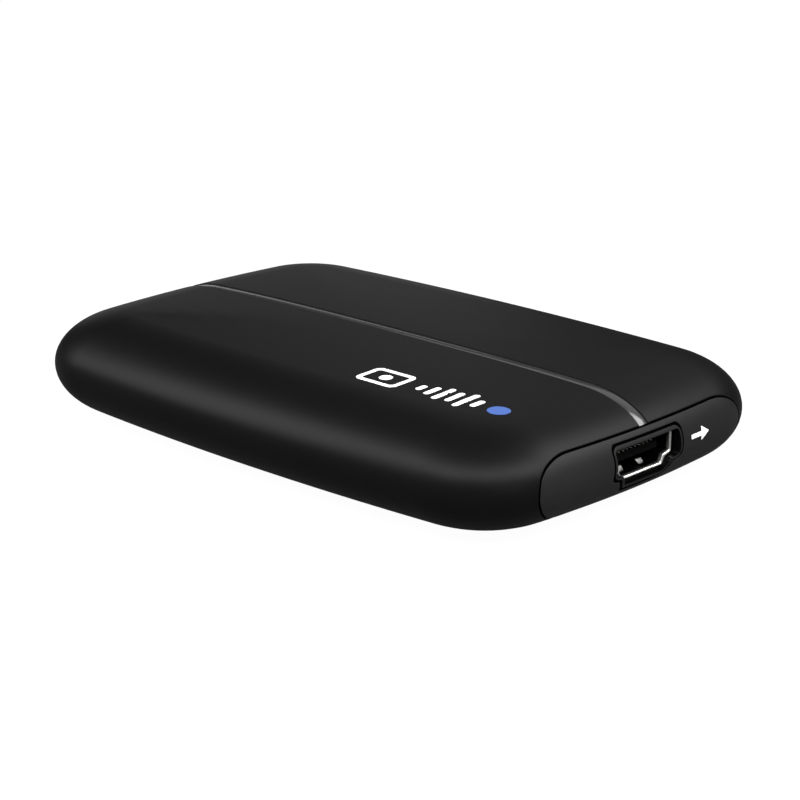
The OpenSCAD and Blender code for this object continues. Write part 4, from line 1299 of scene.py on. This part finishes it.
class CAPTUREBOX_OT_housing(bpy.types.Operator):
    """Build the pillow-shaped housing and dress the cover under it"""

    bl_idname = "capture_box.housing"
    bl_label = "Housing"

    def execute(self, context):
        put(HousingShell(sizes()).mesh(), housing_finish(), "housing_black", "main_housing")
        cover = moulded("cover_black", finish_colours().shell, 0.55, 0.3, grain=4200.0, clouds=50.0, bump=0.2)
        dress("bottom_cover", cover)
        return {"FINISHED"}


class CAPTUREBOX_OT_end_plates(bpy.types.Operator):
    """Build the bowed end plates with their socket openings"""

    bl_idname = "capture_box.end_plates"
    bl_label = "End plates"

    def execute(self, context):
        s, seam = Sockets(), sizes().seam

        def frame_hole(y):
            return lambda off: s.outline(s.FRAME, s.FRAME_R, s.FRAME_GAP + off, y, s.FRAME_FOOT + s.FOOT_GAP)

        front = [frame_hole(s.out_y)]
        rear = [frame_hole(s.in_y), lambda off: s.oval(seam + off),
                lambda off: s.circle(s.BARREL_R + seam + off)]
        put(end_plate(1, "plate_front", front), plate_finish(), "plate_black", "front_end_plate")
        put(end_plate(-1, "plate_rear", rear), plate_finish(), "plate_black", "rear_end_plate")
        return {"FINISHED"}


class CAPTUREBOX_OT_sockets(bpy.types.Operator):
    """Build the sockets: frames, metal shells, tongues, contacts and the audio jack"""

    bl_idname = "capture_box.sockets"
    bl_label = "Sockets"

    def execute(self, context):
        s = Sockets()
        put(socket_frame(1, s.out_y, "frame_out"), plate_finish(), "plate_black", "video_out_surround")
        put(socket_frame(-1, s.in_y, "frame_in"), plate_finish(), "plate_black", "video_in_surround")
        near = Matrix.Translation((s.mouth, s.out_y, 0.0))
        far = Matrix.Translation((-s.mouth, s.in_y, 0.0)) @ Matrix.Rotation(math.pi, 4, "Z")
        put(moved(video_shell("shell_out"), near), nickel_finish(), "nickel_steel", "video_out_shell")
        put(moved(video_shell("shell_in"), far), nickel_finish(), "nickel_steel", "video_in_shell")
        put(data_shell(), nickel_finish(), "nickel_steel", "data_shell")
        black = moulded("socket_black", (0.0015, 0.0015, 0.0015), 0.5, 0.04, grain=2500.0, clouds=300.0)
        for name in ("video_out_insulator", "video_in_insulator", "data_tongue", "audio_jack_body"):
            dress(name, black)
        video = contact_finish("video_contacts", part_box("video_out_contacts")[1].x)
        dress("video_out_contacts", video)
        dress("video_in_contacts", video)
        dress("data_contacts", contact_finish("data_contacts", -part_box("data_contacts")[0].x))
        dress("audio_jack_terminals", plated("tinned_steel", (0.62, 0.62, 0.61), 0.35))
        return {"FINISHED"}


class CAPTUREBOX_OT_light_guide(bpy.types.Operator):
    """Build the smoked light guide in the top groove"""

    bl_idname = "capture_box.light_guide"
    bl_label = "Light guide"

    def execute(self, context):
        put(light_guide_mesh(), guide_finish(), "guide_smoke", "light_guide")
        return {"FINISHED"}


class CAPTUREBOX_OT_feet(bpy.types.Operator):
    """Build the four rubber feet"""

    bl_idname = "capture_box.feet"
    bl_label = "Feet"

    def execute(self, context):
        rubber = moulded("foot_rubber", finish_colours().rubber, 0.72, 0.3, grain=2600.0, clouds=200.0,
                         bump=0.25)
        put(feet_mesh(rubber), rubber, "foot_rubber", "rubber_feet")
        return {"FINISHED"}


class CAPTUREBOX_OT_marks(bpy.types.Operator):
    """Print the plain marks on the top and beside the output socket"""

    bl_idname = "capture_box.marks"
    bl_label = "Printed marks"

    # Rounded rectangles on the top: two corners and the radius, in mm
    SCREEN, SCREEN_HOLE = (14, -22.6, 22.4, -16.4, 1.2), (14.9, -21.7, 21.5, -17.3, 0.6)
    DOT, ACCENT = (17.1, -20.6, 19.3, -18.4, 1.05), (39.7, -21.3, 43.3, -17.7, 1.75)
    BAR_X, BAR_Y, BAR_STEP, BAR_WIDTH, BAR_R = 25.2, -19.5, 2.3, 1.1, 0.5
    BAR_HEIGHTS = (2.2, 3.6, 5.2, 4.2, 6.0, 3.0)
    # Arrow on the end plate, in the end view
    ARROW_R = 0.08
    ARROW = ((9.8, 10.7), (12.6, 10.7), (12.6, 11.5), (14.6, 10.35), (12.6, 9.2), (12.6, 10.0), (9.8, 10.0))

    def execute(self, context):
        body = Pillow(sizes())
        white = ink_finish("print_white", finish_colours().ink)
        blue = ink_finish("print_blue", finish_colours().accent)

        def hole(off):
            return box_outline(*self.SCREEN_HOLE)(-off)

        parts = [print_mark("mark_screen", body.on_top, box_outline(*self.SCREEN), [hole]),
                 print_mark("mark_dot", body.on_top, box_outline(*self.DOT))]
        for k, height in enumerate(self.BAR_HEIGHTS):
            x, half = self.BAR_X + self.BAR_STEP * k, height / 2
            bar = box_outline(x, self.BAR_Y - half, x + self.BAR_WIDTH, self.BAR_Y + half, self.BAR_R)
            parts.append(print_mark("mark_bar", body.on_top, bar))
        put(join("print_top", *parts), white, "lamp_white")
        put(print_mark("print_accent", body.on_top, box_outline(*self.ACCENT)), blue, "lamp_white")
        arrow = print_mark("print_end", end_point(body, 1), shape_outline(self.ARROW, self.ARROW_R))
        put(arrow, white, "lamp_white")
        return {"FINISHED"}


class CAPTUREBOX_OT_inside(bpy.types.Operator):
    """Dress the board, its parts and the screws"""

    bl_idname = "capture_box.inside"
    bl_label = "Board and screws"

    def execute(self, context):
        board = board_lacquer("board_green", (0.010, 0.045, 0.020))
        zinc = plated("zinc_steel", (0.55, 0.55, 0.56), 0.36)
        chip = moulded("chip_black", (0.012, 0.012, 0.012), 0.5, 0.4, grain=1800.0, clouds=250.0, bump=0.3)
        pad = moulded("pad_grey", (0.26, 0.28, 0.31), 0.8, 0.3, grain=1500.0, clouds=400.0)
        sink = plated("sink_aluminium", (0.60, 0.61, 0.63), 0.4)
        can = plated("crystal_can", (0.58, 0.57, 0.55), 0.3)
        ferrite = moulded("ferrite_grey", (0.045, 0.045, 0.048), 0.6, 0.4, grain=1600.0, clouds=400.0)
        tan = moulded("capacitor_tan", (0.34, 0.22, 0.07), 0.5, 0.4, grain=1800.0, clouds=400.0)
        brown = moulded("passive_brown", (0.16, 0.11, 0.07), 0.55, 0.4, grain=2200.0, clouds=600.0)
        lamp = moulded("lamp_white", (0.72, 0.70, 0.64), 0.4, 0.5, grain=2000.0, clouds=500.0)
        finishes = {
            board: ("main_board",),
            zinc: ("case_screws", "board_screws"),
            chip: ("video_processor", "receiver_chip", "splitter_chip", "bridge_chip", "memory_chips",
                   "flash_chip", "codec_chip"),
            pad: ("thermal_pad",),
            sink: ("heat_sink",),
            can: ("crystals",),
            ferrite: ("inductors",),
            tan: ("capacitors",),
            brown: ("passives",),
            lamp: ("status_lights",),
        }
        for material, names in finishes.items():
            for name in names:
                dress(name, material)
        return {"FINISHED"}


class CAPTUREBOX_OT_stage(bpy.types.Operator):
    """Set up the floor, the light and the camera"""

    bl_idname = "capture_box.stage"
    bl_label = "Stage"

    # Softboxes: name of their radiance, azimuth, elevation, half width and half height in degrees
    SOFTBOXES = (
        ("left", 217, 33, 13, 18),
        ("right", 60, 44, 12, 9),
        ("fill", 340, 8, 10, 7),
        ("over", 258, 43, 20, 10),
        ("over", 300, 43, 20, 10),
        ("over", 345, 43, 20, 10),
        ("over", 22, 43, 20, 10),
        ("back", 142, 6, 14, 8),
        ("far", 112, 38, 22, 12),
    )
    REACH, SENSOR, CLIP_START = 0.7, 36.0, 0.01
    FLOOR_HALF, PAPER_GRAIN, PAPER_SPREAD = 4.0, 900.0, 0.03
    # White of the floor as the camera sees it: its glow, and the glow's share against the shadowed paper
    WHITE, WHITE_SHARE = 1.06, 0.92

    def execute(self, context):
        studio = context.scene.capture_box_studio
        self.floor(studio)
        self.backdrop(studio)
        for name, *angles in self.SOFTBOXES:
            self.softbox(name, *map(math.radians, angles), getattr(studio, name))
        self.camera(studio)
        context.scene.view_settings.view_transform = "Standard"
        return {"FINISHED"}

    def floor(self, studio):
        """Pale paper: white to the camera but for the box's shadow, dimmer in reflections."""
        data = bpy.data.meshes.new("floor")
        r = self.FLOOR_HALF
        data.from_pydata([(-r, -r, 0), (r, -r, 0), (r, r, 0), (-r, r, 0)], [], [(0, 1, 2, 3)])
        material = bpy.data.materials.new("floor_paper")
        material.use_nodes = True
        tree = material.node_tree
        tree.nodes.clear()
        path = tree.nodes.new("ShaderNodeLightPath").outputs
        place = tree.nodes.new("ShaderNodeTexCoord").outputs["Object"]

        def calc(kind, a, b):
            return node(tree, "ShaderNodeMath", {0: a, 1: b}, operation=kind).outputs[0]

        plain = calc("MAXIMUM", path["Is Camera Ray"], path["Is Transmission Ray"])
        gloss = calc("MULTIPLY", path["Is Glossy Ray"], studio.floor_gloss)
        level = calc("MULTIPLY", calc("MAXIMUM", plain, gloss), self.WHITE)
        seen = calc("MULTIPLY", calc("MAXIMUM", plain, path["Is Glossy Ray"]), self.WHITE_SHARE)
        grain = node(tree, "ShaderNodeTexNoise", {"Vector": place, "Scale": self.PAPER_GRAIN})
        tone = node(tree, "ShaderNodeMapRange", {
            "Value": grain.outputs["Fac"], "To Min": studio.floor_tone * (1 - self.PAPER_SPREAD),
            "To Max": studio.floor_tone * (1 + self.PAPER_SPREAD)})
        matt = node(tree, "ShaderNodeBsdfDiffuse", {"Color": tone.outputs["Result"]})
        glow = node(tree, "ShaderNodeEmission", {"Color": (1, 1, 1, 1), "Strength": level})
        mix = node(tree, "ShaderNodeMixShader", {0: seen, 1: matt.outputs[0], 2: glow.outputs[0]})
        out = tree.nodes.new("ShaderNodeOutputMaterial")
        tree.links.new(mix.outputs[0], out.inputs["Surface"])
        data.materials.append(material)
        piece = bpy.data.objects.new("floor", data)
        bpy.context.scene.collection.objects.link(piece)

    def backdrop(self, studio):
        """Dim room, plain white to the camera."""
        world = bpy.data.worlds.new("studio")
        bpy.context.scene.world = world
        world.use_nodes = True
        tree = world.node_tree
        tree.nodes.clear()
        seen = tree.nodes.new("ShaderNodeLightPath").outputs["Is Camera Ray"]
        level = node(tree, "ShaderNodeMath", {0: seen, 1: studio.room}, operation="MAXIMUM")
        glow = node(tree, "ShaderNodeBackground", {"Color": (1, 1, 1, 1), "Strength": level.outputs[0]})
        out = tree.nodes.new("ShaderNodeOutputWorld")
        tree.links.new(glow.outputs[0], out.inputs["Surface"])

    def softbox(self, name, azimuth, elevation, wide, high, radiance):
        """Rectangular softbox facing the box, given by its direction, its half angles and its radiance."""
        reach = self.REACH
        data = bpy.data.lights.new(name, "AREA")
        data.shape = "RECTANGLE"
        data.size, data.size_y = (2 * reach * math.tan(half) for half in (wide, high))
        data.energy = radiance * math.pi * data.size * data.size_y
        level = math.cos(elevation)
        place = reach * Vector((level * math.cos(azimuth), level * math.sin(azimuth), math.sin(elevation)))
        lamp = bpy.data.objects.new(name, data)
        lamp.location = place
        lamp.rotation_euler = (-place).to_track_quat("-Z", "Y").to_euler()
        lamp.visible_camera = False
        bpy.context.scene.collection.objects.link(lamp)

    def camera(self, studio):
        """Camera aimed at the middle of the box, framed by its shift."""
        target = Vector((0.0, 0.0, sizes().body_height / 2))
        azimuth, elevation = studio.camera_azimuth, studio.camera_elevation
        level = math.cos(elevation)
        back = Vector((level * math.cos(azimuth), -level * math.sin(azimuth), math.sin(elevation)))
        right = Vector((0, 0, 1)).cross(back).normalized()
        up = back.cross(right)
        data = bpy.data.cameras.new("camera")
        data.lens, data.sensor_width = studio.camera_lens, self.SENSOR
        data.shift_x, data.shift_y = studio.camera_shift
        data.clip_start = self.CLIP_START
        camera = bpy.data.objects.new("camera", data)
        turn = Matrix((right, up, back)).transposed().to_4x4()
        camera.matrix_world = Matrix.Translation(target + back * studio.camera_distance) @ turn
        bpy.context.scene.collection.objects.link(camera)
        bpy.context.scene.camera = camera


class CAPTUREBOX_PT_pieces(bpy.types.Panel):
    """Pieces of the capture box"""

    bl_label = "Capture Box"
    bl_space_type = "VIEW_3D"
    bl_region_type = "UI"
    bl_category = "Capture Box"

    def draw(self, context):
        for operator in OPERATORS:
            self.layout.operator(operator.bl_idname)
        for group in ("capture_box_sizes", "capture_box_finish", "capture_box_studio"):
            values = getattr(context.scene, group)
            column = self.layout.column()
            for name in values.bl_rna.properties.keys():
                if name not in ("rna_type", "name"):
                    column.prop(values, name)


OPERATORS = (
    CAPTUREBOX_OT_stage,
    CAPTUREBOX_OT_housing,
    CAPTUREBOX_OT_end_plates,
    CAPTUREBOX_OT_sockets,
    CAPTUREBOX_OT_light_guide,
    CAPTUREBOX_OT_feet,
    CAPTUREBOX_OT_marks,
    CAPTUREBOX_OT_inside,
)
CLASSES = (CaptureBoxSizes, CaptureBoxFinish, CaptureBoxStudio, *OPERATORS, CAPTUREBOX_PT_pieces)


def register():
    for made in CLASSES:
        bpy.utils.register_class(made)
    bpy.types.Scene.capture_box_sizes = PointerProperty(type=CaptureBoxSizes)
    bpy.types.Scene.capture_box_finish = PointerProperty(type=CaptureBoxFinish)
    bpy.types.Scene.capture_box_studio = PointerProperty(type=CaptureBoxStudio)


def unregister():
    del bpy.types.Scene.capture_box_studio
    del bpy.types.Scene.capture_box_finish
    del bpy.types.Scene.capture_box_sizes
    for made in reversed(CLASSES):
        bpy.utils.unregister_class(made)


def main():
    register()
    for name in ("stage", "housing", "end_plates", "sockets", "light_guide", "feet", "marks", "inside"):
        getattr(bpy.ops.capture_box, name)()


if __name__ == "__main__":
    main()
